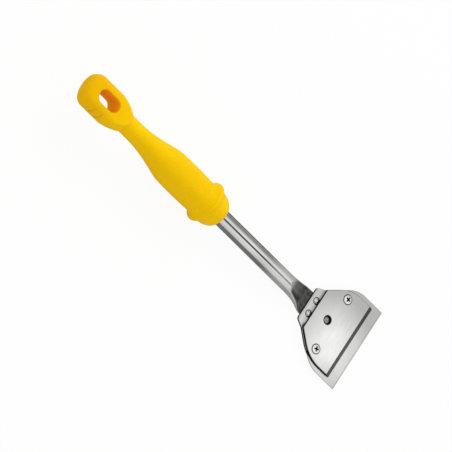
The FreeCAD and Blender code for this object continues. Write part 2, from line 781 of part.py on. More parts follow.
def draw_rivet(sheet, sketch):
    """Half a rivet's section: domed head, shank, and the closed head behind."""
    number = lambda expression: value(sheet, expression)
    head, shank = "Sizes.rivet_head / 2", "Sizes.rivet_shank / 2"
    foot = "-Sizes.holder_thickness - 2 * Sizes.tube_wall"
    radius, rise, rim = number(head), number("Sizes.rivet_rise"), number("Sizes.rivet_rim")
    inner, under = number(shank), number(foot)
    dome = (radius ** 2 + (rise - rim) ** 2) / (2 * (rise - rim))

    draw = Outline(sheet, sketch, (0, rise))
    front = draw.arc_to((radius, rim), (0, rise - dome), clockwise=True)
    rim_front = draw.line_to((radius, 0))
    seat = draw.line_to((inner, 0))
    barrel = draw.line_to((inner, under))
    back_seat = draw.line_to((radius, under))
    rim_back = draw.line_to((radius, under - rim))
    back = draw.arc_to((0, under - rise), (0, under - rise + dome), clockwise=True, smooth=False)
    draw.line_to((0, rise))
    draw.close()

    draw.place(front, CENTRE, "0")
    draw.place(front, END, "0", "Sizes.rivet_rise")
    draw.place(rim_front, START, head, "Sizes.rivet_rim")
    draw.place(seat, START, head, "0")
    draw.place(barrel, START, shank, "0")
    draw.place(back_seat, START, shank, foot)
    draw.place(rim_back, START, head, foot)
    draw.place(rim_back, END, head, f"{foot} - Sizes.rivet_rim")
    draw.place(back, CENTRE, "0")
    draw.place(back, START, "0", f"{foot} - Sizes.rivet_rise")


def make_rivet(doc, sheet, name, side):
    """One rivet that joins the holder plate to the tube's tongue."""
    body = new_body(doc, name)
    section = new_sketch(body, f"{name}_section", "XZ_Plane")
    draw_rivet(sheet, section)
    revolve(body, section, f"{name}_solid", "V_Axis")
    stand_at(body, "Sizes.head_start + Sizes.rivet_setback", f"{side} * Sizes.rivet_spacing / 2")
    return body


def draw_screw(sheet, sketch):
    """Half a clamp screw's section: pan head, shank and chamfered end."""
    number = lambda expression: value(sheet, expression)
    head, shank = "Sizes.screw_head / 2", "Sizes.screw_shank / 2"
    seat = "Sizes.blade_thickness + Sizes.clamp_thickness"
    top, rim = f"{seat} + Sizes.screw_rise", f"{seat} + Sizes.screw_rise - Sizes.screw_crown"
    tip, point = f"{seat} - Sizes.screw_length", "Sizes.screw_point"
    radius, crown = number(head), number("Sizes.screw_crown")
    dome = (radius ** 2 + crown ** 2) / (2 * crown)
    inner, end, cut = number(shank), number(tip), number(point)

    draw = Outline(sheet, sketch, (0, number(top)))
    crest = draw.arc_to((radius, number(rim)), (0, number(top) - dome), clockwise=True)
    wall = draw.line_to((radius, number(seat)))
    under = draw.line_to((inner, number(seat)))
    barrel = draw.line_to((inner, end + cut))
    chamfer = draw.line_to((inner - cut, end))
    foot = draw.line_to((0, end))
    draw.line_to((0, number(top)))
    draw.close()

    draw.place(crest, CENTRE, "0")
    draw.place(crest, END, "0", top)
    draw.place(wall, START, head, rim)
    draw.place(under, START, head, seat)
    draw.place(barrel, START, shank, seat)
    draw.place(chamfer, START, shank, f"{tip} + {point}")
    draw.place(chamfer, END, f"{shank} - {point}", tip)
    draw.place(foot, END, "0", tip)


def draw_wing(sheet, sketch):
    """One wing of the cross recess, from the head's middle outwards."""
    half, reach = "Sizes.cross_width / 2", "Sizes.cross_span / 2"
    near, far = value(sheet, half), value(sheet, reach)
    draw = Outline(sheet, sketch, (-near, -near))
    lower = draw.line_to((far, -near))
    end = draw.line_to((far, near))
    upper = draw.line_to((-near, near))
    inner = draw.line_to((-near, -near))
    draw.close()
    draw.rule("Horizontal", lower)
    draw.rule("Horizontal", upper)
    draw.rule("Vertical", inner)
    draw.place(lower, START, f"-{half}", f"-{half}")
    draw.rule("Vertical", end)
    draw.place(end, END, reach, half)


def make_screw(doc, sheet, name, side, turn):
    """One clamp screw with a cross recess, turned as far as it is driven in."""
    body = new_body(doc, name)
    section = new_sketch(body, f"{name}_section", "XZ_Plane")
    draw_screw(sheet, section)
    solid = revolve(body, section, f"{name}_solid", "V_Axis")
    rim = value(sheet, "Sizes.blade_thickness + Sizes.clamp_thickness + Sizes.screw_rise"
                       " - Sizes.screw_crown")
    round_edges(body, solid, f"{name}_edge", "Sizes.head_edge_round",
                lambda edge: lies_at(edge, "z", rim))

    top = "Sizes.blade_thickness + Sizes.clamp_thickness + Sizes.screw_rise"
    wing = new_sketch(body, f"{name}_wing_outline", "XY_Plane", top)
    draw_wing(sheet, wing)
    slot = body.newObject("PartDesign::Pocket", f"{name}_wing")
    slot.Profile = wing
    slot.setExpression("Length", "Sizes.cross_depth")
    cross = body.newObject("PartDesign::PolarPattern", f"{name}_cross")
    cross.Originals = [slot]
    cross.Axis = (origin_feature(body, "Z_Axis"), [""])
    cross.Angle = 360.0
    cross.Occurrences = 4
    body.Tip = cross

    stand_at(body, "Sizes.head_start + Sizes.screw_setback", f"{side} * Sizes.screw_spacing / 2")
    body.setExpression("Placement.Rotation.Angle", f"{turn} * 1 deg")
    return body


def make_peg(doc, sheet):
    """The locating peg that holds the blade in line."""
    body = new_body(doc, "locating_peg")
    outline = new_sketch(body, "PegOutline", "XY_Plane", "-Sizes.holder_thickness")
    Outline(sheet, outline).circle("0", "0", "Sizes.peg_diameter")
    peg = pad(body, outline, "Peg", "Sizes.holder_thickness + Sizes.peg_rise")
    doc.recompute()
    top = value(sheet, "Sizes.peg_rise")
    edges = enumerate(peg.Shape.Edges, start=1)
    names = [f"Edge{number}" for number, edge in edges if lies_at(edge, "z", top)]
    chamfer = body.newObject("PartDesign::Chamfer", "PegChamfer")
    chamfer.Base = (peg, names)
    chamfer.setExpression("Size", "Sizes.peg_chamfer")
    stand_at(body, "Sizes.head_start + Sizes.peg_setback", "0")
    return body


# Whole tool

def rest_placement(sheet):
    """How the tool lies: on the collar's crest and the holder's back edge.

    The line under both touches the crest's round section and the lower corner
    of the holder plate. The tool is tilted until that line is level, lifted
    onto the floor and moved so that its length is centred.
    """
    size = reader(sheet)
    crest_r = size("crest_round")
    crest = Vector(-size("collar_back"), 0, crest_r - size("collar_radius"))
    corner = Vector(size("head_start") + size("holder_length"), 0, -size("holder_thickness"))
    reach = corner - crest
    tilt = math.atan2(reach.z, reach.x) + math.asin(crest_r / reach.Length)
    turned = FreeCAD.Rotation(Vector(0, 1, 0), math.degrees(tilt))
    lift = -turned.multVec(corner).z

    tip_x = size("head_start") + size("blade_setback") + size("blade_length")
    front = turned.multVec(Vector(tip_x, 0, size("blade_edge"))).x
    round_r = size("eye_edge_round")
    heel = Vector(round_r - size("eye_end_back"), 0, round_r - size("eye_thickness") / 2)
    back = turned.multVec(heel).x - round_r
    return FreeCAD.Placement(Vector(-(front + back) / 2, 0, lift), turned)


def check(doc, pieces):
    """Stops the build if a feature failed or a piece is not one sound solid."""
    for item in doc.Objects:
        if "Invalid" in item.State or "Error" in item.State:
            raise RuntimeError(f"{item.Name} failed: {item.State}")
    for piece in pieces:
        shape = piece.Shape
        if shape.isNull() or not shape.isValid() or len(shape.Solids) != 1:
            raise RuntimeError(f"{piece.Label} is not one valid solid")


def build():
    """Builds every piece and writes one STEP file for each."""
    doc = FreeCAD.newDocument("GrillScraper")
    sheet = make_sheet(doc)
    pieces = [
        make_handle(doc, sheet),
        make_shaft_tube(doc, sheet),
        make_holder_plate(doc, sheet),
        make_blade(doc, sheet),
        make_clamp_plate(doc, sheet),
        make_peg(doc, sheet),
        make_rivet(doc, sheet, "rivet_left", -1),
        make_rivet(doc, sheet, "rivet_right", 1),
        make_screw(doc, sheet, "clamp_screw_left", -1, "Sizes.left_turn"),
        make_screw(doc, sheet, "clamp_screw_right", 1, "Sizes.right_turn"),
    ]
    doc.recompute()
    check(doc, pieces)

    rest = rest_placement(sheet)
    os.makedirs("parts", exist_ok=True)
    for piece in pieces:
        shape = piece.Shape.copy()
        shape.Placement = rest.multiply(shape.Placement)
        shape.exportStep(f"parts/{piece.Label}.step")


build()
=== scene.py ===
import logging
import math
from dataclasses import dataclass, replace
from enum import Enum

import bmesh
import bpy
from bmesh.types import BMEdge, BMesh, BMFace, BMVert
from bpy.types import ID, Material, Node, NodeSocket, Object
from mathutils import Matrix, Vector


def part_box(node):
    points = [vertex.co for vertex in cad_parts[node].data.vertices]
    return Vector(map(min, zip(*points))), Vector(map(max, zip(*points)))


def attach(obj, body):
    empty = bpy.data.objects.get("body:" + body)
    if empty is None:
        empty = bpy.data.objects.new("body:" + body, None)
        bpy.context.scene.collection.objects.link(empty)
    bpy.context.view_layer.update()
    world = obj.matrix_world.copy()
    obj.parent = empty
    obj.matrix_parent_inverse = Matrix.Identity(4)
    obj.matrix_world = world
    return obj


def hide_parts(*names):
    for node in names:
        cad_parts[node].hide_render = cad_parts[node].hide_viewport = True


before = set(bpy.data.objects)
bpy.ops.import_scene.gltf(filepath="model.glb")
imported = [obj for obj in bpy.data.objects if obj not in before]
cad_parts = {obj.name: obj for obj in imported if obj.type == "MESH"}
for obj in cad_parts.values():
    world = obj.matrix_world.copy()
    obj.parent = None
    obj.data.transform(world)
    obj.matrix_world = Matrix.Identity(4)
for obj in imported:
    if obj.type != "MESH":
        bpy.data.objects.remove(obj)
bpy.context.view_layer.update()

# A grill scraper: yellow moulded handle, polished tube pressed flat at its end,
# and a wide blade clamped between two plates.
#
# Pieces are drawn in the tool's own frame, in metres: X along the tube towards
# the blade with 0 at the handle's front face, Z out of the face with the screws.
# The whole tool lies tilted on the floor, and ToolFrame takes it there.

log = logging.getLogger("grill_scraper")

MM = 0.001
PER_MM = 1 / MM
WELD = 1e-6
IMAGE_PIXELS = 452
WHITE = "#FFFFFF"
PAPER = "#EDEDEB"
# The black of painted shade.
SHADE_BLACK = "#121211"

Source = Node | NodeSocket
Triple = tuple[float, float, float]
Colour = tuple[float, float, float, float]


class Side(Enum):
    """The two sides of the tool's middle plane."""

    LEFT = -1
    RIGHT = 1


class Finish(Enum):
    """The names of the record's material slots."""

    HANDLE = "handle_plastic"
    TUBE = "tube_steel"
    FASTENER = "fastener_steel"


# Frame

@dataclass(frozen=True)
class ToolFrame:
    """Where the tool's own frame lies in the row's frame."""

    tilt: float = math.radians(5.3308)
    tip: float = 228.4 * MM
    edge: float = 0.25 * MM
    holder_end: float = 211.7 * MM
    holder_back: float = 2.5 * MM

    def matrix(self) -> Matrix:
        """The move from the tool's frame to the row's frame.

        Returns:
            A matrix that tilts the tool and puts its cutting edge and the
            holder plate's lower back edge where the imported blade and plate
            have them.
        """
        turn = Matrix.Rotation(self.tilt, 4, "Y")
        reach = (turn @ Vector((self.tip, 0, self.edge))).x
        drop = (turn @ Vector((self.holder_end, 0, -self.holder_back))).z
        place = Vector((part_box("blade")[1].x - reach, 0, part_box("holder_plate")[0].z - drop))
        return Matrix.Translation(place) @ turn


TOOL = ToolFrame().matrix()
TO_TOOL = TOOL.inverted()
TOOL_UP = TOOL.to_3x3() @ Vector((0, 0, 1))


@dataclass(frozen=True)
class Seats:
    """Where round things stand on the plates: a pair, or one in the middle.

    Each has its middle this far along the tool and this high, and its radius.
    """

    along: float
    half_spacing: float
    height: float
    radius: float

    def spot(self, side: Side) -> Vector:
        """The middle of the one on a side, in the tool's frame."""
        return Vector((self.along, side.value * self.half_spacing, self.height))


RIVETS = Seats(along=154.5 * MM, half_spacing=8.3 * MM, height=0.0, radius=3.6 * MM)
SCREWS = Seats(along=183.0 * MM, half_spacing=32.8 * MM, height=3.8 * MM, radius=5.0 * MM)
WINDOW = Seats(along=175.8 * MM, half_spacing=0.0, height=3.8 * MM, radius=4.65 * MM)


# Colours and nodes

def linear(code: str) -> Colour:
    """Turns an sRGB hex colour linear.

    Args:
        code: The colour as "#RRGGBB".

    Returns:
        Linear red, green, blue and an alpha of 1.
    """
    parts = [int(code[i:i + 2], 16) / 255 for i in (1, 3, 5)]
    bright = [p / 12.92 if p <= 0.04045 else ((p + 0.055) / 1.055) ** 2.4 for p in parts]
    return (*bright, 1.0)


class Shader:
    """The node tree of a material or a world while it is built."""

    def __init__(self, owner: ID) -> None:
        """Starts with an empty tree.

        Args:
            owner: The material or world.
        """
        owner.use_nodes = True
        owner.node_tree.nodes.clear()
        self.owner = owner
        self.tree = owner.node_tree

    def feed(self, node: Node, inputs: dict) -> None:
        """Sets or links inputs of a node.

        Args:
            node: The node.
            inputs: Values, sockets or nodes, whose first output counts, by the
                input's name or number.
        """
        for name, source in inputs.items():
            if isinstance(source, Node):
                source = next(socket for socket in source.outputs if socket.enabled)
            if isinstance(source, NodeSocket):
                self.tree.links.new(source, node.inputs[name])
            else:
                node.inputs[name].default_value = source

    def add(self, kind: str, inputs: dict | None = None, **settings: object) -> Node:
        """Adds one node with its settings and links.

        Args:
            kind: The node's type name, without "ShaderNode".
            inputs: What feeds it, as for feed.
            settings: The node's own properties.

        Returns:
            The new node.
        """
        node = self.tree.nodes.new(f"ShaderNode{kind}")
        for name, setting in settings.items():
            setattr(node, name, setting)
        self.feed(node, inputs or {})
        return node


class Surface(Shader):
    """A Principled material whose patterns lie in the tool's own frame."""

    def __init__(self, name: str) -> None:
        """Starts the material.

        Args:
            name: The material's name.
        """
        super().__init__(bpy.data.materials.new(name))
        self.skin = self.add("BsdfPrincipled")
        self.add("OutputMaterial", {"Surface": self.skin})
        self.place = self.add("Mapping", {
            "Vector": self.add("TexCoord").outputs["Object"],
            "Location": TO_TOOL.translation, "Rotation": TO_TOOL.to_euler(),
        })

    def stretched(self, stretch: Triple) -> Source:
        """A spot's place in the tool's frame, stretched along its axes."""
        return self.add("Mapping", {"Vector": self.place, "Scale": stretch})

    def measure(self, axis: str) -> Source:
        """How far a spot lies along the tool's "X", "Y" or "Z", in metres."""
        return self.add("SeparateXYZ", {"Vector": self.place}).outputs[axis]

    def along(self, start: float, end: float) -> Source:
        """A share that grows along the tool.

        Args:
            start: Where it starts to grow from 0, in metres.
            end: Where it reaches 1.

        Returns:
            The share.
        """
        return self.add("MapRange", {
            "Value": self.measure("X"), "From Min": start, "From Max": end,
        }, interpolation_type="SMOOTHSTEP")

    def distance(self, spot: Triple) -> Source:
        """How far away a spot of the tool is, in metres."""
        return self.add("VectorMath", {0: self.place, 1: spot}, operation="DISTANCE")

    def facing_up(self) -> Source:
        """How squarely a face looks out of the tool's top, from -1 to 1."""
        normal = self.add("NewGeometry").outputs["Normal"]
        return self.add("VectorMath", {0: normal, 1: TOOL_UP}, operation="DOT_PRODUCT")


# Plastic

@dataclass(frozen=True)
class MouldedPolypropylene:
    """Solid-coloured polypropylene, injection moulded: satin, slightly waxy."""

    light: str = "#FED200"
    deep: str = "#F2B800"
    shade: str = "#F99000"
    scuff: str = "#CC8A00"
    roughness: float = 0.46
    sheen_spread: float = 0.05
    specular: float = 0.05
    # The eye is deeper in colour than the grip: where it changes, and by how much.
    eye: tuple[float, float] = (-205.0 * MM, -140.0 * MM)
    paleness: tuple[float, float] = (0.2, 1.4)
    # Painted shade: hollows, and sides near the floor, are painted a deeper orange, for light that
    # has bounced in them.
    painted_shade_reach: float = 26.0 * MM
    painted_shade_depth: float = 0.7
    # Sizes of the flow marks, of the mould's grain and of the slow waves of
    # shrinkage, and how deep the last two are.
    flow_mm: float = 38.0
    grain_mm: float = 0.9
    wave_mm: float = 14.0
    grain_depth: float = 0.06 * MM
    wave_depth: float = 0.5 * MM
    # Two short grooves worn over the left edge of the eye.
    grooves: tuple[float, ...] = (-197.3 * MM, -187.0 * MM)
    groove_half_width: float = 1.5 * MM
    groove_end: tuple[float, float] = (-17.5 * MM, -13.5 * MM)
    groove_depth: float = 0.65 * MM
    groove_soil: float = 0.2
    inner_glow: float = 0.08
    inner_reach: float = 2.0 * MM
    inner_tint: Triple = (1.0, 0.5, 0.1)

    def worn(self, surface: Surface) -> Source:
        """Marks the worn grooves.

        Args:
            surface: The material.

        Returns:
            A share from 0, whole, to 1, the bottom of a groove.
        """
        edge = surface.add("MapRange", {
            "Value": surface.measure("Y"),
            "From Min": self.groove_end[0], "From Max": self.groove_end[1],
            "To Min": 1.0, "To Max": 0.0,
        })
        place = surface.measure("X")
        total = 0.0
        for groove in self.grooves:
            aside = surface.add("Math", {0: place, 1: groove}, operation="SUBTRACT")
            gap = surface.add("Math", {0: aside}, operation="ABSOLUTE")
            depth = surface.add("MapRange", {
                "Value": gap, "From Max": self.groove_half_width,
                "To Min": 1.0, "To Max": 0.0,
            }, interpolation_type="SMOOTHSTEP")
            total = surface.add("Math", {0: total, 1: depth}, operation="MAXIMUM")
        return surface.add("Math", {0: total, 1: edge}, operation="MULTIPLY")

    def colour(self, surface: Surface, flow: Source, worn: Source) -> Source:
        """Colours the plastic.

        Args:
            surface: The material.
            flow: The flow marks.
            worn: The worn grooves.

        Returns:
            Yellow, deeper at the eye, with painted shade in hollows, and soiled in the grooves.
        """
        paleness = surface.add("MapRange", {
            "Value": surface.along(*self.eye),
            "To Min": self.paleness[0], "To Max": self.paleness[1],
        })
        pale = surface.add("Math", {0: flow, 1: paleness}, operation="MULTIPLY", use_clamp=True)
        # Painted shade: a deeper orange where ambient occlusion finds hollows.
        open_sky = surface.add("AmbientOcclusion", {"Distance": self.painted_shade_reach}, samples=4)
        hollow = surface.add("MapRange", {
            "Value": open_sky.outputs["AO"], "From Min": 0.2, "From Max": 0.95,
            "To Min": self.painted_shade_depth, "To Max": 0.0,
        }, interpolation_type="SMOOTHSTEP")
        soil = surface.add("Math", {0: worn, 1: self.groove_soil}, operation="MULTIPLY")
        colour = linear(self.deep)
        for share, tone in ((pale, self.light), (hollow, self.shade), (soil, self.scuff)):
            colour = surface.add("Mix", {
                "Factor": share, "A": colour, "B": linear(tone),
            }, data_type="RGBA")
        return colour

    def relief(self, surface: Surface, worn: Source) -> Source:
        """Shapes the skin.

        Args:
            surface: The material.
            worn: The worn grooves.

        Returns:
            Normals of a fine grain on slow waves, dented in the grooves.
        """
        grain = surface.add("TexNoise", {
            "Vector": surface.place, "Scale": PER_MM / self.grain_mm, "Detail": 2.0,
        })
        wave = surface.add("TexNoise", {
            "Vector": surface.stretched((0.6, 1.0, 1.0)),
            "Scale": PER_MM / self.wave_mm, "Detail": 1.0,
        })
        rough = surface.add("Bump", {
            "Strength": 0.12, "Distance": self.grain_depth, "Height": grain,
        })
        wavy = surface.add("Bump", {
            "Strength": 0.35, "Distance": self.wave_depth, "Height": wave, "Normal": rough,
        })
        return surface.add("Bump", {
            "Strength": 1.0, "Distance": self.groove_depth, "Height": worn, "Normal": wavy,
        }, invert=True)

    def build(self) -> Material:
        """Makes the material.

        Returns:
            Yellow plastic with faint flow marks, a fine moulded grain, a
            slightly wavy skin and two worn grooves over one edge of the eye.
        """
        surface = Surface("moulded_polypropylene")
        flow = surface.add("TexNoise", {
            "Vector": surface.stretched((0.5, 1.0, 1.0)),
            "Scale": PER_MM / self.flow_mm, "Detail": 3.0,
        })
        worn = self.worn(surface)
        sheen = surface.add("MapRange", {
            "Value": flow,
            "To Min": self.roughness - self.sheen_spread,
            "To Max": self.roughness + self.sheen_spread,
        })
        surface.feed(surface.skin, {
            "Base Color": self.colour(surface, flow, worn),
            "Roughness": sheen,
            "Normal": self.relief(surface, worn),
            "IOR": 1.49,
            "Specular IOR Level": self.specular,
            "Subsurface Weight": self.inner_glow,
            "Subsurface Radius": self.inner_tint,
            "Subsurface Scale": self.inner_reach,
        })
        return surface.owner


# Steel, and light and shade painted on it

@dataclass(frozen=True, kw_only=True)
class PaintedLayer:
    """Painted light or shade laid over bare metal in places, in one colour."""

    colour: str
    roughness: float | None = None

    def share(self, surface: Surface) -> Source:
        """How much of a spot it covers, from 0 to 1."""
        raise NotImplementedError

    def tone(self, surface: Surface) -> Source | Colour:
        """Its colour, which is the same all over unless it has a pattern."""
        return linear(self.colour)


@dataclass(frozen=True, kw_only=True)
class PaintedSheen(PaintedLayer):
    """Painted sheen: the metal is painted darker, all but round one spot where it mirrors most
    light.
    """

    sheen_spot: Triple = (195.0 * MM, -18.0 * MM, 3.0 * MM)
    sheen_reach: float = 12.0 * MM
    sheen_gone_by: float = 54.0 * MM

    def share(self, surface: Surface) -> Source:
        """How far a spot lies outside the painted sheen, from 0 to 1."""
        return surface.add("MapRange", {
            "Value": surface.distance(self.sheen_spot),
            "From Min": self.sheen_reach, "From Max": self.sheen_gone_by,
        })


@dataclass(frozen=True, kw_only=True)
class PaintedShade(PaintedLayer):
    """Painted shade: black in corners and on the edges, which face sideways.

    It spreads by its full reach along the left edge. Elsewhere it reaches
    only a part of that, and hardly any lies on the strip that the rivets hold.
    """

    colour: str = SHADE_BLACK
    reach: float = 1.2 * MM
    on_edges: float = 0.9
    rest_share: float = 0.5
    left_edge: tuple[float, float] = (-22.0 * MM, -18.0 * MM)
    strip_end: tuple[float, float] = (158.0 * MM, 166.0 * MM)
    strip_reach: float = 0.8 * MM

    def share(self, surface: Surface) -> Source:
        """How much painted shade a spot takes.

        Args:
            surface: The material.

        Returns:
            A share from 0, unshaded, to 1, black.
        """
        rest_reach = surface.add("MapRange", {
            "Value": surface.along(*self.strip_end),
            "To Min": self.strip_reach, "To Max": self.rest_share * self.reach,
        })
        spread = surface.add("MapRange", {
            "Value": surface.measure("Y"),
            "From Min": self.left_edge[0], "From Max": self.left_edge[1],
            "To Min": self.reach, "To Max": rest_reach,
        })
        open_sky = surface.add("AmbientOcclusion", {"Distance": spread}, samples=6)
        corner = surface.add("MapRange", {
            "Value": open_sky.outputs["AO"], "From Min": 0.6, "From Max": 0.9,
            "To Min": 1.0, "To Max": 0.0,
        })
        level = surface.add("Math", {0: surface.facing_up()}, operation="ABSOLUTE")
        edge = surface.add("MapRange", {
            "Value": level, "From Min": 0.2, "From Max": 0.6,
            "To Min": self.on_edges, "To Max": 0.0,
        })
        return surface.add("Math", {0: corner, 1: edge}, operation="MAXIMUM")


@dataclass(frozen=True, kw_only=True)
class ContactShade(PaintedLayer):
    """Painted shade: a black ring round each round thing that stands on a plate."""

    seats: Seats
    colour: str = SHADE_BLACK
    full_to: float = 0.4 * MM
    gone_by: float = 1.0 * MM

    def share(self, surface: Surface) -> Source:
        """Marks the rings, which fade out a little way from each rim.

        Args:
            surface: The material.

        Returns:
            A share from 0, unshaded, to 1, black.
        """
        total = 0.0
        for side in Side:
            ring = surface.add("MapRange", {
                "Value": surface.distance(self.seats.spot(side)),
                "From Min": self.seats.radius + self.full_to,
                "From Max": self.seats.radius + self.gone_by,
                "To Min": 1.0, "To Max": 0.0,
            }, interpolation_type="SMOOTHSTEP")
            total = surface.add("Math", {0: total, 1: ring}, operation="MAXIMUM")
        return total


@dataclass(frozen=True, kw_only=True)
class PressedDarkReflection(PaintedLayer):
    """Painted dark reflection in streaks on top of the pressed stretch, where the metal is also
    dull.
    """

    start: float
    run_in: float = 7.0 * MM
    colour: str = "#3E3E3D"
    pale_streaks: str = "#787877"
    streak_mm: float = 7.0
    roughness: float = 0.42

    def share(self, surface: Surface) -> Source:
        """Marks the pressed stretch.

        Args:
            surface: The material.

        Returns:
            A share that is 1 on what looks up past the run-in.
        """
        top = surface.add("MapRange", {
            "Value": surface.facing_up(), "From Min": 0.6, "From Max": 0.88,
        })
        return surface.add("Math", {
            0: top, 1: surface.along(self.start, self.start + self.run_in),
        }, operation="MULTIPLY")

    def tone(self, surface: Surface) -> Source:
        """Draws the streaks.

        Args:
            surface: The material.

        Returns:
            A colour between its two tones.
        """
        streaks = surface.add("TexNoise", {
            "Vector": surface.stretched((0.2, 1.0, 0.3)),
            "Scale": PER_MM / self.streak_mm, "Detail": 2.0,
        })
        cracked = surface.add("MapRange", {"Value": streaks, "From Min": 0.35, "From Max": 0.65})
        return surface.add("Mix", {
            "Factor": cracked, "A": linear(self.colour), "B": linear(self.pale_streaks),
        }, data_type="RGBA")


@dataclass(frozen=True)
class Frost:
    """A stretch along the tool past which ground or worn metal hardly mirrors."""

    start: float
    end: float
    share: float

    def metallic(self, surface: Surface) -> Source:
        """How metallic a spot still is, less by its share past the stretch."""
        return surface.add("MapRange", {
            "Value": surface.along(self.start, self.end),
            "To Min": 1.0, "To Max": 1.0 - self.share,
        })


@dataclass(frozen=True, kw_only=True)
class WorkedSteel:
    """Bare steel whose grain runs one way, as drawing or rolling leaves it."""

    name: str
    light: str
    dark: str
    # The mean roughness, and how far it goes either way.
    roughness: float
    spread: float
    # The grain's size along the tool's X, Y and Z, and that of the soft patches.
    grain_mm: Triple
    patch_mm: float
    grain_depth_mm: float
    dent_depth_mm: float = 0.0
    # Painted light and shade over the metal, from the bottom up, and where it turns matt.
    painted_layers: tuple[PaintedLayer, ...] = ()
    frost: Frost | None = None

    def bare(self, surface: Surface, mottle: Source) -> tuple[Source, Source]:
        """Colours the metal itself.

        Args:
            surface: The material.
            mottle: The grain and the patches in one.

        Returns:
            Its colour and its roughness.
        """
        tone = surface.add("MapRange", {"Value": mottle, "From Min": 0.12, "From Max": 0.38})
        colour = surface.add("Mix", {
            "Factor": tone, "A": linear(self.dark), "B": linear(self.light),
        }, data_type="RGBA")
        gloss = surface.add("MapRange", {
            "Value": mottle, "From Min": 0.1, "From Max": 0.4,
            "To Min": self.roughness + self.spread, "To Max": self.roughness - self.spread,
        })
        return colour, gloss

    def relief(self, surface: Surface, grain: Source, patch: Source) -> Source:
        """Cuts the grain lines and presses in the dents, where it has them.

        Args:
            surface: The material.
            grain: The grain.
            patch: The soft patches.

        Returns:
            The normals.
        """
        lines = surface.add("Bump", {
            "Strength": 0.3, "Distance": self.grain_depth_mm * MM, "Height": grain,
        })
        if not self.dent_depth_mm:
            return lines
        return surface.add("Bump", {
            "Strength": 0.5, "Distance": self.dent_depth_mm * MM, "Height": patch,
            "Normal": lines,
        })

    def build(self) -> Material:
        """Makes the material.

        Returns:
            Steel with its grain in colour, gloss and relief, under its painted light and shade.
        """
        surface = Surface(self.name)
        grain = surface.add("TexNoise", {
            "Vector": surface.stretched(tuple(PER_MM / size for size in self.grain_mm)),
            "Scale": 1.0, "Detail": 4.0, "Roughness": 0.6,
        })
        patch = surface.add("TexNoise", {
            "Vector": surface.place, "Scale": PER_MM / self.patch_mm, "Detail": 2.0,
        })
        mottle = surface.add("Math", {0: grain, 1: patch}, operation="MULTIPLY")
        colour, roughness = self.bare(surface, mottle)
        for painted_layer in self.painted_layers:
            share = painted_layer.share(surface)
            colour = surface.add("Mix", {
                "Factor": share, "A": colour, "B": painted_layer.tone(surface),
            }, data_type="RGBA")
            if painted_layer.roughness is not None:
                roughness = surface.add("MapRange", {
                    "Value": share, "To Min": roughness, "To Max": painted_layer.roughness,
                })
        surface.feed(surface.skin, {
            "Base Color": colour,
            "Roughness": roughness,
            "Metallic": self.frost.metallic(surface) if self.frost else 1.0,
            "Normal": self.relief(surface, grain, patch),
        })
        return surface.owner


@dataclass(frozen=True)
class ShadedRecess:
    """Painted shade at the bottom of a screw's recess: dull black, with paler specks."""

    recess_black: str = "#0B0B0B"
    speck_black: str = "#1C1B1A"
    speck_mm: float = 0.4
    roughness: float = 0.9
    specular: float = 0.1

    def build(self) -> Material:
        """Makes the material.

        Returns:
            A dull black with paler specks.
        """
        surface = Surface("oiled_recess")
        speck = surface.add("TexNoise", {
            "Vector": surface.place, "Scale": PER_MM / self.speck_mm, "Detail": 2.0,
        })
        tone = surface.add("Mix", {
            "Factor": speck, "A": linear(self.recess_black), "B": linear(self.speck_black),
        }, data_type="RGBA")
        surface.feed(surface.skin, {
            "Base Color": tone,
            "Roughness": self.roughness,
            "Specular IOR Level": self.specular,
        })
        return surface.owner


# Painted shade rings round the rivets, the screws and the peg's window.
SHADE_RINGS = tuple(ContactShade(seats=seats) for seats in (RIVETS, SCREWS, WINDOW))

# Drawn tube, polished lengthwise: the lines run along the tool's X. It is more
# worn towards the head, and the top of its flat end has a painted dark reflection.
TUBE_STEEL = WorkedSteel(
    name="drawn_tube_steel", light="#E4E4E3", dark="#CACAC9", roughness=0.13, spread=0.05,
    grain_mm=(60.0, 0.7, 0.7), patch_mm=30.0, grain_depth_mm=0.012,
    painted_layers=(PressedDarkReflection(start=113.0 * MM),), frost=Frost(68.0 * MM, 102.0 * MM, 0.4),
)

# Rolled stainless plate, satin: short lines across the plate, soft patches.
# It has a painted sheen round one spot, and painted shade in corners, on edges and in rings.
PLATE_STEEL = WorkedSteel(
    name="rolled_stainless_plate", light="#FAFAF9", dark="#EEEEED", roughness=0.2, spread=0.03,
    grain_mm=(0.8, 24.0, 2.0), patch_mm=34.0, grain_depth_mm=0.002, dent_depth_mm=0.02,
    painted_layers=(PaintedSheen(colour="#BEBEBD"), PaintedShade(reach=1.3 * MM, on_edges=1.0), *SHADE_RINGS),
)

# The same plate under the blade, which nothing rubs: matt, with blacker painted shade in corners.
HOLDER_STEEL = replace(
    PLATE_STEEL, name="matt_stainless_plate", roughness=0.42,
    painted_layers=(PaintedSheen(colour="#D0D0CF"), PaintedShade(reach=3.0 * MM, on_edges=1.0), *SHADE_RINGS),
    frost=Frost(146.0 * MM, 150.0 * MM, 0.75),
)

# Hardened spring steel for the blade, ground across its edge to a pale bevel.
# It has a painted sheen round one spot, and painted shade in corners and on edges.
BLADE_STEEL = WorkedSteel(
    name="ground_spring_steel", light="#F4F4F2", dark="#E4E4E2", roughness=0.2, spread=0.03,
    grain_mm=(20.0, 0.7, 2.0), patch_mm=26.0, grain_depth_mm=0.003,
    painted_layers=(PaintedSheen(colour="#C0C0BE"), PaintedShade(reach=2.4 * MM)),
    frost=Frost(226.3 * MM, 226.6 * MM, 0.8),
)

# Zinc-plated screws, tumbled bright: nearly white under the lamp.
# Painted shade darkens their corners.
SCREW_STEEL = WorkedSteel(
    name="bright_zinc_plate", light="#FAFAF8", dark="#ECECEA", roughness=0.26, spread=0.04,
    grain_mm=(1.2, 1.2, 1.2), patch_mm=6.0, grain_depth_mm=0.006, painted_layers=(PaintedShade(on_edges=0.0),),
)

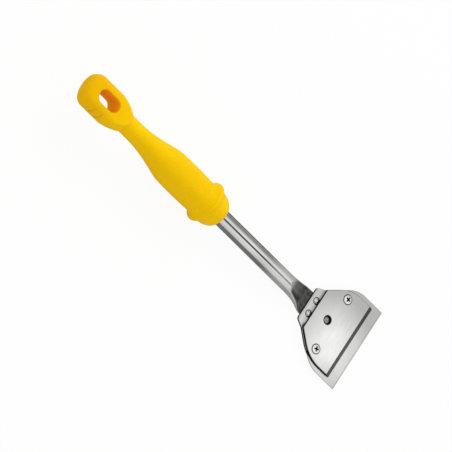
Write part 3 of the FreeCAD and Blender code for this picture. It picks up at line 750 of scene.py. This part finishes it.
# Plain steel rivets, hammered round: pale, with small dents and painted shade on their rims.
RIVET_STEEL = WorkedSteel(
    name="peened_rivet_steel", light="#F0F0EE", dark="#CACAC8", roughness=0.3, spread=0.06,
    grain_mm=(1.0, 1.0, 1.0), patch_mm=3.0, grain_depth_mm=0.02, dent_depth_mm=0.05,
    painted_layers=(PaintedShade(on_edges=0.6),),
)

# Turned steel peg, mid grey, with painted shade in corners and on edges.
PEG_STEEL = WorkedSteel(
    name="turned_peg_steel", light="#BEBEBC", dark="#868684", roughness=0.42, spread=0.06,
    grain_mm=(0.8, 0.8, 0.8), patch_mm=2.0, grain_depth_mm=0.03, dent_depth_mm=0.05,
    painted_layers=(PaintedShade(),),
)


# Mesh helpers

def ease(share: float) -> float:
    """Eases a share from 0 to 1, level at both ends."""
    share = min(max(share, 0.0), 1.0)
    return share * share * (3 - 2 * share)


class Lathe:
    """Draws half a section from point to point and turns it about Z."""

    def __init__(self, radius: float, height: float) -> None:
        """Starts the section at a point."""
        self.mesh = bmesh.new()
        self.tip = self.mesh.verts.new((radius, 0.0, height))

    def line(self, radius: float, height: float) -> "Lathe":
        """Adds a straight piece to a point.

        Args:
            radius: The end's distance from the axis.
            height: The end's height.

        Returns:
            The same lathe.
        """
        there = self.mesh.verts.new((radius, 0.0, height))
        self.mesh.edges.new((self.tip, there))
        self.tip = there
        return self

    def arc(self, radius: float, height: float, centre: tuple[float, float],
            steps: int) -> "Lathe":
        """Adds a round piece to a point.

        Args:
            radius: The end's distance from the axis.
            height: The end's height.
            centre: Radius and height of the arc's centre.
            steps: How many chords stand for the arc.

        Returns:
            The same lathe.
        """
        here = self.tip.co
        before = math.atan2(here.x - centre[0], here.z - centre[1])
        after = math.atan2(radius - centre[0], height - centre[1])
        made = bmesh.ops.spin(
            self.mesh, geom=[self.tip], cent=(centre[0], 0, centre[1]), axis=(0, 1, 0),
            angle=after - before, steps=steps, use_merge=False, use_duplicate=False,
        )
        self.tip = next(v for v in made["geom_last"] if isinstance(v, BMVert))
        return self

    def turn(self, steps: int) -> BMesh:
        """Turns the section into a closed solid.

        Args:
            steps: How many sides the solid has round its axis.

        Returns:
            The solid, with its faces outwards.
        """
        bmesh.ops.spin(
            self.mesh, geom=self.mesh.verts[:] + self.mesh.edges[:], cent=(0, 0, 0),
            axis=(0, 0, 1), angle=2 * math.pi, steps=steps, use_merge=True,
            use_duplicate=False,
        )
        bmesh.ops.remove_doubles(self.mesh, verts=self.mesh.verts, dist=WELD)
        bmesh.ops.recalc_face_normals(self.mesh, faces=self.mesh.faces)
        return self.mesh


def dome_radius(radius: float, rise: float) -> float:
    """The radius of the sphere that a dome is a cap of."""
    return (radius ** 2 + rise ** 2) / (2 * rise)


def round_edges(mesh: BMesh, edges: list[BMEdge], offset: float, segments: int) -> None:
    """Rounds some edges.

    Args:
        mesh: The mesh.
        edges: Its edges to round.
        offset: How far from the edge the rounding starts.
        segments: How many faces stand for the rounding.
    """
    bmesh.ops.bevel(
        mesh, geom=edges, offset=offset, segments=segments, profile=0.5, affect="EDGES",
        material=-1,
    )


def as_object(name: str, mesh: BMesh) -> Object:
    """Puts a bmesh into the scene and frees it.

    Args:
        name: The object's name.
        mesh: The bmesh.

    Returns:
        The object, at the origin.
    """
    data = bpy.data.meshes.new(name)
    mesh.to_mesh(data)
    mesh.free()
    piece = bpy.data.objects.new(name, data)
    bpy.context.scene.collection.objects.link(piece)
    return piece


def finish_mesh(name: str, mesh: BMesh, place: Matrix, sharp: float = math.radians(38)) -> Object:
    """Turns a bmesh into an object whose place is in its mesh.

    Args:
        name: The object's name.
        mesh: The bmesh, which is freed.
        place: The move from the piece's own frame to the row's frame.
        sharp: The angle past which an edge stays sharp.

    Returns:
        The object, at the origin, unturned and unscaled.
    """
    bmesh.ops.transform(mesh, matrix=place, verts=mesh.verts)
    for face in mesh.faces:
        face.smooth = True
    for edge in mesh.edges:
        edge.smooth = len(edge.link_faces) == 2 and edge.calc_face_angle() < sharp
    return as_object(name, mesh)


def carve(piece: Object, cutter: Object) -> None:
    """Cuts one object out of another.

    Args:
        piece: The object that stays.
        cutter: The object that is cut out of it and removed.
    """
    cut = piece.modifiers.new("carve", "BOOLEAN")
    cut.operation = "DIFFERENCE"
    cut.solver = "EXACT"
    cut.object = cutter
    graph = bpy.context.evaluated_depsgraph_get()
    done = bpy.data.meshes.new_from_object(piece.evaluated_get(graph))
    piece.modifiers.clear()
    piece.data = done
    bpy.data.objects.remove(cutter)


def ride(piece: Object, finish: Finish, *nodes: str) -> None:
    """Fixes a new piece to the tool and hides the CAD nodes that it replaces.

    Args:
        piece: The new piece.
        finish: The record's material slot; not used.
        nodes: The CAD nodes that it replaces.
    """
    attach(piece, "root")
    if nodes:
        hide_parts(*nodes)
    log.info("piece %s: %d faces", piece.name, len(piece.data.polygons))


def dress(node: str, material: Material) -> None:
    """Gives a CAD node a finish.

    Args:
        node: The node's name.
        material: The finish.
    """
    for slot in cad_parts[node].material_slots:
        slot.material = material
    log.info("node %s: %s", node, material.name)


# Handle

@dataclass
class Handle:
    """The moulded handle, with the fine line that the mould's halves leave."""

    socket_radius: float = 9.8 * MM
    socket_end: float = -100.0 * MM
    line_radius: float = 0.16 * MM

    def build(self) -> None:
        """Dresses the handle and adds its parting line."""
        plastic = MouldedPolypropylene().build()
        dress("handle", plastic)
        line = self.parting_line()
        line.data.materials.append(plastic)
        ride(line, Finish.HANDLE)

    def off_line(self, vert: BMVert) -> bool:
        """Tells whether a point lies off the middle plane or in the tube's socket.

        Args:
            vert: A point of the handle, in the row's frame.

        Returns:
            Whether the parting line leaves it out.
        """
        here = TO_TOOL @ vert.co
        in_socket = abs(here.y) < self.socket_radius and here.x > self.socket_end
        return abs(here.z) > WELD or in_socket

    def outline(self) -> Object:
        """Cuts the handle along its middle plane.

        Returns:
            The cut's edges, without faces.
        """
        mesh = bmesh.new()
        mesh.from_mesh(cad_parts["handle"].data)
        bmesh.ops.remove_doubles(mesh, verts=mesh.verts, dist=WELD)
        bmesh.ops.bisect_plane(
            mesh, geom=mesh.verts[:] + mesh.edges[:] + mesh.faces[:], dist=0.1 * WELD,
            plane_co=TOOL.translation, plane_no=TOOL_UP,
        )
        off_plane = [v for v in mesh.verts if self.off_line(v)]
        bmesh.ops.delete(mesh, geom=off_plane, context="VERTS")
        bmesh.ops.delete(mesh, geom=mesh.faces[:], context="FACES_ONLY")
        return as_object("handle_parting_line", mesh)

    def parting_line(self) -> Object:
        """Runs a thin raised line where the mould's halves meet.

        Returns:
            The line as a mesh, along the handle's outline in its middle plane
            and round the hanging hole.
        """
        route = self.outline()
        for other in bpy.context.selected_objects:
            other.select_set(False)
        bpy.context.view_layer.objects.active = route
        route.select_set(True)
        bpy.ops.object.convert(target="CURVE")
        route.data.bevel_depth = self.line_radius
        route.data.bevel_resolution = 1
        bpy.ops.object.convert(target="MESH")
        route.select_set(False)
        return route


# Shaft

@dataclass
class Shaft:
    """The tube, pressed flat under the holder plate."""

    radius: float = 9.5 * MM
    wall: float = 1.2 * MM
    back: float = -92.0 * MM
    # The press starts at press_start. The underside is flat from foot_end on
    # and the top from press_end on, later by a power.
    press_start: float = 111.5 * MM
    press_end: float = 146.0 * MM
    foot_end: float = 138.0 * MM
    top_delay: float = 2.0
    # The hollow's depth, and how much later it starts for each metre off the middle.
    dish: float = 2.2 * MM
    dish_spread: float = 1.0
    under_plate: float = -2.5 * MM
    tongue_end: float = 166.7 * MM
    tongue_corner: float = 5.0 * MM
    corner_steps: int = 8
    sides: int = 160
    step: float = 0.5 * MM

    def half_width(self, x: float, flat: float, reach: float) -> float:
        """Half the tube's width, less at the tongue's rounded corners.

        Args:
            x: The place along the tube.
            flat: Half the width of the flat.
            reach: How far the bend goes past it.

        Returns:
            The half width.
        """
        past = max(0.0, x - (self.tongue_end - self.tongue_corner))
        corner = self.tongue_corner
        return flat + reach - corner + math.sqrt(max(corner ** 2 - past ** 2, 0.0))

    def pressed(self, point: Vector) -> Vector:
        """Where the press takes a point of the round tube's skin.

        The wall bends without stretching, so each section is a flat oval as
        long round its middle line as the tube was. The underside is pressed up
        first. The top comes down later, and is hollow where the press bites in:
        first at the middle, then further out on both sides.

        Args:
            point: The point on the round tube, in the tool's frame.

        Returns:
            The point on the pressed tube.
        """
        run_in = self.press_end - self.press_start
        share = min(max(point.x - self.press_start, 0.0) / run_in, 1.0)
        foot_share = max(point.x - self.press_start, 0.0) / (self.foot_end - self.press_start)
        top = self.radius + (self.under_plate - self.radius) * ease(share ** self.top_delay)
        tongue_foot = self.under_plate - 2 * self.wall
        foot = -self.radius + (tongue_foot + self.radius) * ease(foot_share)
        bend = (top - foot) / 2 - self.wall / 2
        flat = math.pi / 2 * (self.radius - self.wall / 2 - bend)
        reach = bend + self.wall / 2

        run = (flat + math.pi / 2 * bend) * math.atan2(abs(point.y), abs(point.z)) / (math.pi / 2)
        angle = max(0.0, run - flat) / bend
        across = min(run, flat) + reach * math.sin(angle)
        rise = reach * math.cos(angle)
        half = flat + reach
        if point.z > 0:
            start = self.press_start + self.dish_spread * across
            late = min(max(point.x - start, 0.0) / run_in, 1.0)
            # late * (1 - late) ** 2 is 4/27 at its highest.
            hollow = self.dish * 27 / 4 * late * (1 - late) ** 2
            rise -= hollow * (1 - (across / half) ** 4)
        across *= self.half_width(point.x, flat, reach) / half
        middle = (top + foot) / 2
        return Vector((
            point.x, math.copysign(across, point.y), middle + math.copysign(rise, point.z),
        ))

    def stations(self) -> list[float]:
        """Sets out the rings along the tube.

        Returns:
            Their places, close together on the ramp and at the corners.
        """
        rings = round((self.press_end - self.press_start) / self.step) + 2
        ramp = [self.press_start + self.step * (i - 1) for i in range(rings)]
        quarter = math.pi / 2 / self.corner_steps
        tongue = [self.tongue_end - self.tongue_corner * math.cos(quarter * i)
                  for i in range(self.corner_steps + 1)]
        return [self.back, *ramp, *tongue]

    def skin(self) -> BMesh:
        """Draws the round tube ring by ring and presses it.

        Returns:
            The pressed tube in the tool's frame, closed at both ends.
        """
        mesh = bmesh.new()
        bmesh.ops.create_circle(mesh, segments=self.sides, radius=self.radius)
        bmesh.ops.rotate(mesh, verts=mesh.verts, matrix=Matrix.Rotation(math.pi / 2, 3, "Y"))
        ring = mesh.edges[:]
        places = self.stations()
        bmesh.ops.translate(mesh, verts=mesh.verts, vec=(places[0], 0, 0))
        for before, after in zip(places, places[1:]):
            made = bmesh.ops.extrude_edge_only(mesh, edges=ring)["geom"]
            ring = [e for e in made if isinstance(e, BMEdge)]
            verts = [v for v in made if isinstance(v, BMVert)]
            bmesh.ops.translate(mesh, verts=verts, vec=(after - before, 0, 0))
        for vert in mesh.verts:
            vert.co = self.pressed(vert.co)
        bmesh.ops.holes_fill(mesh, edges=mesh.edges)
        bmesh.ops.recalc_face_normals(mesh, faces=mesh.faces)
        return mesh

    def build(self) -> None:
        """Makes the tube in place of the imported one, which has coarser facets."""
        tube = finish_mesh("pressed_tube", self.skin(), TOOL)
        tube.data.materials.append(TUBE_STEEL.build())
        ride(tube, Finish.TUBE, "shaft_tube")


# Head

@dataclass(frozen=True)
class Head:
    """Holder plate, blade, clamp plate and the peg that locates the blade."""

    finishes: tuple[tuple[str, WorkedSteel], ...] = (
        ("holder_plate", HOLDER_STEEL), ("clamp_plate", PLATE_STEEL),
        ("blade", BLADE_STEEL), ("locating_peg", PEG_STEEL),
    )

    def build(self) -> None:
        """Dresses the flat pieces of the head."""
        for node, steel in self.finishes:
            dress(node, steel.build())


@dataclass
class ClampScrew:
    """A pan-head screw with a cross recess and a cut thread."""

    side: Side
    turn: float
    seats: Seats = SCREWS
    head_rise: float = 1.1 * MM
    crown: float = 0.35 * MM
    edge_round: float = 0.5 * MM
    shank_radius: float = 2.1 * MM
    point: float = 0.4 * MM
    thread_radius: float = 2.48 * MM
    thread_pitch: float = 0.8 * MM
    thread_gap: float = 0.6 * MM
    thread_root: float = 0.05 * MM
    length: float = 8.0 * MM
    wing_span: float = 7.2 * MM
    wing_width: float = 2.0 * MM
    # How much of a slot's span and width is left at its bottom.
    wing_taper: tuple[float, float] = (0.45, 0.7)
    recess_depth: float = 1.0 * MM
    overshoot: float = 0.4 * MM
    skin_gap: float = 0.1 * MM
    sides: int = 48
    dome_steps: int = 8
    round_steps: int = 4
    thread_steps: int = 24

    def place(self) -> Matrix:
        """The move from the screw's own frame, on its seat, to the row's frame."""
        seat = Matrix.Translation(self.seats.spot(self.side))
        return TOOL @ seat @ Matrix.Rotation(self.turn, 4, "Z")

    def solid(self) -> BMesh:
        """Turns the head and shank and rounds the head's edge.

        Returns:
            The screw without its recess.
        """
        head = self.seats.radius
        rim = self.head_rise - self.crown
        lathe = Lathe(0.0, self.head_rise)
        centre = (0.0, self.head_rise - dome_radius(head, self.crown))
        lathe.arc(head, rim, centre, self.dome_steps)
        lathe.line(head, 0.0).line(self.shank_radius, 0.0)
        lathe.line(self.shank_radius, self.point - self.length)
        lathe.line(self.shank_radius - self.point, -self.length).line(0.0, -self.length)
        mesh = lathe.turn(self.sides)
        round_edges(mesh, [
            e for e in mesh.edges
            if all(abs(v.co.z - rim) < WELD for v in e.verts)
            and all(v.co.xy.length > head - 10 * WELD for v in e.verts)
        ], self.edge_round, self.round_steps)
        return mesh

    def thread(self, mesh: BMesh) -> None:
        """Winds the thread round the shank, as a ridge of three sides.

        Args:
            mesh: The screw, in its own frame.
        """
        turns = (self.length - 2 * self.thread_gap) / self.thread_pitch
        root = self.shank_radius - self.thread_root
        section = [
            mesh.verts.new((radius, 0, -self.thread_gap - share * self.thread_pitch))
            for radius, share in ((root, 0.0), (self.thread_radius, 0.4), (root, 0.8))
        ]
        cap = mesh.faces.new(section)
        bmesh.ops.spin(
            mesh, geom=[cap, *cap.edges, *section], cent=(0, 0, 0), axis=(0, 0, 1),
            dvec=(0, 0, -self.thread_pitch / self.thread_steps), angle=2 * math.pi * turns,
            steps=round(self.thread_steps * turns), use_merge=False, use_duplicate=False,
        )

    def wing(self, quarter: int) -> Object:
        """One tapered slot of the recess, as a cutter.

        Args:
            quarter: Quarter turns about the screw's axis.

        Returns:
            The cutter.
        """
        mesh = bmesh.new()
        bmesh.ops.create_cube(mesh, size=1.0)
        high, low = self.head_rise + self.overshoot, self.head_rise - self.recess_depth
        for vert in mesh.verts:
            upper = vert.co.z > 0
            span, width = (1.0, 1.0) if upper else self.wing_taper
            vert.co = Vector((
                vert.co.x * span * self.wing_span, vert.co.y * width * self.wing_width,
                high if upper else low,
            ))
        return finish_mesh(f"wing_{quarter}", mesh, Matrix.Rotation(quarter * math.pi / 2, 4, "Z"))

    def in_recess(self, face: BMFace) -> bool:
        """Tells whether a face of the carved head belongs to its recess.

        Args:
            face: The face, in the screw's own frame.

        Returns:
            Whether it lies under the dome and above the seat.
        """
        centre = face.calc_center_median()
        off_axis = centre.xy.length
        dome = self.head_rise - self.crown * (off_axis / self.seats.radius) ** 2
        near = off_axis < 0.55 * self.wing_span  # a little past the slots' ends
        return near and 10 * WELD < centre.z < dome - self.skin_gap

    def build(self, steel: Material, recess: Material) -> None:
        """Makes the screw.

        Args:
            steel: The finish of the screw.
            recess: The painted shade inside its recess.
        """
        name = f"clamp_screw_{self.side.name.lower()}"
        blank = finish_mesh("screw_blank", self.solid(), Matrix.Identity(4))
        for quarter in (0, 1):
            carve(blank, self.wing(quarter))
        mesh = bmesh.new()
        mesh.from_mesh(blank.data)
        bpy.data.objects.remove(blank)
        for face in mesh.faces:
            face.material_index = int(self.in_recess(face))
        self.thread(mesh)
        screw = finish_mesh(f"pan_head_{name}", mesh, self.place())
        screw.data.materials.append(steel)
        screw.data.materials.append(recess)
        ride(screw, Finish.FASTENER, name)


@dataclass
class Rivet:
    """A domed rivet through the holder plate and the tube's tongue."""

    side: Side
    seats: Seats = RIVETS
    rise: float = 1.0 * MM
    rim: float = 0.3 * MM
    rim_round: float = 0.2 * MM
    shank_radius: float = 2.4 * MM
    grip: float = 4.9 * MM
    sides: int = 40
    dome_steps: int = 8
    round_steps: int = 3
    sharp: float = math.radians(30)

    def is_rim(self, edge: BMEdge) -> bool:
        """Tells whether an edge is one of the heads' rims that stand free.

        Args:
            edge: An edge of the rivet, in its own frame.

        Returns:
            Whether it is rounded.
        """
        first, last = (v.co for v in edge.verts)
        outside = all(abs(co.xy.length - self.seats.radius) < WELD for co in (first, last))
        level = abs(first.z - last.z) < 0.1 * WELD
        # Not where the upper head meets the plate.
        free = not -0.9 * self.grip < first.z < 0.5 * self.rim
        return outside and level and free and edge.calc_face_angle() > self.sharp

    def build(self, steel: Material) -> None:
        """Turns the rivet, with a low dome on both heads.

        Args:
            steel: The finish of the rivet.
        """
        head = self.seats.radius
        dome = dome_radius(head, self.rise - self.rim)
        foot = -self.grip
        lathe = Lathe(0.0, self.rise)
        lathe.arc(head, self.rim, (0.0, self.rise - dome), self.dome_steps)
        lathe.line(head, 0.0).line(self.shank_radius, 0.0)
        lathe.line(self.shank_radius, foot).line(head, foot).line(head, foot - self.rim)
        lathe.arc(0.0, foot - self.rise, (0.0, foot - self.rise + dome), self.dome_steps)
        mesh = lathe.turn(self.sides)
        rims = [e for e in mesh.edges if self.is_rim(e)]
        round_edges(mesh, rims, self.rim_round, self.round_steps)
        name = f"rivet_{self.side.name.lower()}"
        place = TOOL @ Matrix.Translation(self.seats.spot(self.side))
        rivet = finish_mesh(f"domed_{name}", mesh, place)
        rivet.data.materials.append(steel)
        ride(rivet, Finish.FASTENER, name)


# Studio

@dataclass(frozen=True)
class SoftBox:
    """A rectangular soft lamp, with its centre and aim in the row's frame."""

    name: str
    centre: Triple
    aim: Triple
    size: tuple[float, float]
    brightness: float
    mirrored: bool

    def build(self) -> None:
        """Hangs the lamp and turns it to its aim.

        Its brightness is that of its own face, where 1 is the white of the
        background. A lamp that isn't mirrored shows in no shiny surface.
        """
        lamp = bpy.data.lights.new(self.name, "AREA")
        lamp.shape = "RECTANGLE"
        lamp.size, lamp.size_y = self.size
        lamp.energy = math.pi * self.size[0] * self.size[1] * self.brightness
        holder = bpy.data.objects.new(self.name, lamp)
        holder.location = self.centre
        gaze = Vector(self.aim) - Vector(self.centre)
        holder.rotation_euler = gaze.to_track_quat("-Z", "Y").to_euler()
        holder.visible_camera = False
        holder.visible_glossy = self.mirrored
        bpy.context.scene.collection.objects.link(holder)


@dataclass(frozen=True)
class DarkCard:
    """A dark card laid for the metal to mirror; nothing else sees it."""

    name: str
    centre: Triple
    size: tuple[float, float]
    shade: float

    def build(self) -> None:
        """Lays the card level, evenly dark wherever the metal mirrors it."""
        mesh = bmesh.new()
        bmesh.ops.create_grid(mesh, x_segments=1, y_segments=1, size=0.5)
        bmesh.ops.scale(mesh, vec=(*self.size, 1.0), verts=mesh.verts)
        card = finish_mesh(self.name, mesh, Matrix.Translation(self.centre))
        paint = Shader(bpy.data.materials.new("dark_card"))
        glow = paint.add("Emission", {"Color": linear(WHITE), "Strength": self.shade})
        paint.add("OutputMaterial", {"Surface": glow})
        card.data.materials.append(paint.owner)
        card.visible_camera = False
        card.visible_diffuse = False
        card.visible_shadow = False


@dataclass(frozen=True)
class LongLens:
    """The camera: far off, at the photograph's angle, which is in degrees."""

    azimuth: float = -46.73
    elevation: float = 58.33
    roll: float = 84.34
    distance: float = 20.0
    mm_per_pixel: float = 1.0411
    # A point of the tool, and where the photograph shows it, right and down.
    anchor: Triple = (6.4 * MM, 0.0, 0.0)
    anchor_pixel: tuple[float, float] = (222.84, 218.98)
    sensor: float = 36.0

    def build(self) -> None:
        """Looks at the tool from the photograph's side."""
        pose = (
            Matrix.Rotation(math.radians(self.azimuth), 4, "Z")
            @ Matrix.Rotation(math.radians(90 - self.elevation), 4, "X")
            @ Matrix.Rotation(math.radians(self.roll), 4, "Z")
        )
        middle = IMAGE_PIXELS / 2
        scale = self.mm_per_pixel * MM
        right, down = self.anchor_pixel
        stand = Vector(((middle - right) * scale, (down - middle) * scale, self.distance))
        anchor = TOOL @ Vector(self.anchor)

        lens = bpy.data.cameras.new("long_lens")
        lens.sensor_width = self.sensor
        lens.lens = self.sensor * self.distance / (IMAGE_PIXELS * scale)
        lens.clip_start, lens.clip_end = 1.0, 100.0
        camera = bpy.data.objects.new("camera", lens)
        camera.matrix_world = Matrix.Translation(anchor) @ pose @ Matrix.Translation(stand)
        bpy.context.scene.collection.objects.link(camera)
        bpy.context.scene.camera = camera


@dataclass(frozen=True)
class Studio:
    """A plain pale floor, and soft lamps in a tent."""

    floor_half: float = 6.0
    floor_glow: float = 0.94
    tent_light: float = 0.78
    # What the metal mirrors, by the angle from overhead: minus is to the left.
    tent_shades: tuple[tuple[float, float], ...] = (
        (-90, 0.60), (-76, 0.86), (-62, 0.78), (-36, 0.96), (-26, 0.90), (-20, 0.05),
        (-6, 0.05), (0, 0.62), (14, 0.76), (25, 0.70), (42, 0.54), (58, 0.36),
        (76, 0.26), (90, 0.34),
    )
    # Where what is mirrored lies this far ahead of the tool, the tent darkens to a share.
    dark_end: tuple[float, float] = (0.72, 0.82)
    dark_share: float = 0.28

    def floor(self) -> None:
        """Lays the pale floor, which looks white and keeps a soft shadow."""
        mesh = bmesh.new()
        bmesh.ops.create_grid(mesh, x_segments=1, y_segments=1, size=self.floor_half)
        sheet = finish_mesh("floor", mesh, Matrix.Identity(4))
        paint = Shader(bpy.data.materials.new("paper_floor"))
        paper = paint.add("BsdfDiffuse", {"Color": linear(PAPER)})
        glow = paint.add("Emission", {"Color": linear(WHITE), "Strength": 1.0})
        ray = paint.add("LightPath")
        eye = paint.add("Math", {
            0: ray.outputs["Is Camera Ray"], 1: ray.outputs["Is Glossy Ray"],
        }, operation="MAXIMUM")
        share = paint.add("Math", {0: eye, 1: self.floor_glow}, operation="MULTIPLY")
        seen = paint.add("MixShader", {"Fac": share, 1: paper, 2: glow})
        paint.add("OutputMaterial", {"Surface": seen})
        sheet.data.materials.append(paint.owner)

    def mirrored_tent(self, room: Shader) -> Source:
        """Grades the tent that metal mirrors, across the tool and darker ahead of it.

        Args:
            room: The world.

        Returns:
            The tent's brightness.
        """
        gaze = room.add("TexCoord").outputs["Generated"]
        axis = room.add("SeparateXYZ", {"Vector": gaze})
        angle = room.add("Math", {0: axis.outputs["Y"], 1: axis.outputs["Z"]}, operation="ARCTAN2")
        share = room.add("MapRange", {
            "Value": angle, "From Min": -math.pi / 2, "From Max": math.pi / 2,
        })
        shades = room.add("ValToRGB", {"Fac": share})
        stops = shades.color_ramp.elements
        while len(stops) < len(self.tent_shades):
            stops.new(0.5)
        for stop, (degrees, shade) in zip(stops, self.tent_shades):
            stop.position = (degrees + 90) / 180
            stop.color = (shade, shade, shade, 1.0)
        ahead = room.add("MapRange", {
            "Value": axis.outputs["X"],
            "From Min": self.dark_end[0], "From Max": self.dark_end[1],
            "To Min": 1.0, "To Max": self.dark_share,
        })
        return room.add("Math", {0: shades, 1: ahead}, operation="MULTIPLY")

    def surroundings(self) -> None:
        """Fills the room: white to the eye, soft light, and the tent that metal mirrors."""
        room = Shader(bpy.data.worlds.new("studio"))
        ray = room.add("LightPath")
        light, tent, white = (
            room.add("Background", {"Color": linear(WHITE), "Strength": strength})
            for strength in (self.tent_light, self.mirrored_tent(room), 1.0)
        )
        lit = room.add("MixShader", {"Fac": ray.outputs["Is Glossy Ray"], 1: light, 2: tent})
        seen = room.add("MixShader", {"Fac": ray.outputs["Is Camera Ray"], 1: lit, 2: white})
        room.add("OutputWorld", {"Surface": seen})
        bpy.context.scene.world = room.owner

    def build(self) -> None:
        """Sets up the whole studio."""
        self.floor()
        self.surroundings()
        SoftBox(
            name="top_box", centre=(0.75, 0.268, 0.9), aim=(0.75, 0.268, 0.0),
            size=(1.3, 0.444), brightness=0.32, mirrored=True,
        ).build()
        SoftBox(
            name="side_box", centre=(-0.1, 1.2, 1.0), aim=tuple(TOOL @ Vector((60 * MM, 0, 0))),
            size=(1.2, 0.8), brightness=2.75, mirrored=False,
        ).build()
        DarkCard(name="low_card", centre=(0.1, 0.0, 0.3 * MM), size=(1.4, 1.2), shade=0.2).build()


def main() -> None:
    """Builds the studio and every part of the scraper in turn."""
    logging.basicConfig(level=logging.INFO, format="%(name)s: %(message)s")
    bpy.context.scene.view_settings.view_transform = "Standard"
    LongLens().build()
    Studio().build()
    Handle().build()
    Shaft().build()
    Head().build()
    zinc, recess = SCREW_STEEL.build(), ShadedRecess().build()
    ClampScrew(Side.LEFT, math.radians(20)).build(zinc, recess)
    ClampScrew(Side.RIGHT, math.radians(81)).build(zinc, recess)
    steel = RIVET_STEEL.build()
    Rivet(Side.LEFT).build(steel)
    Rivet(Side.RIGHT).build(steel)


if __name__ == "__main__":
    main()
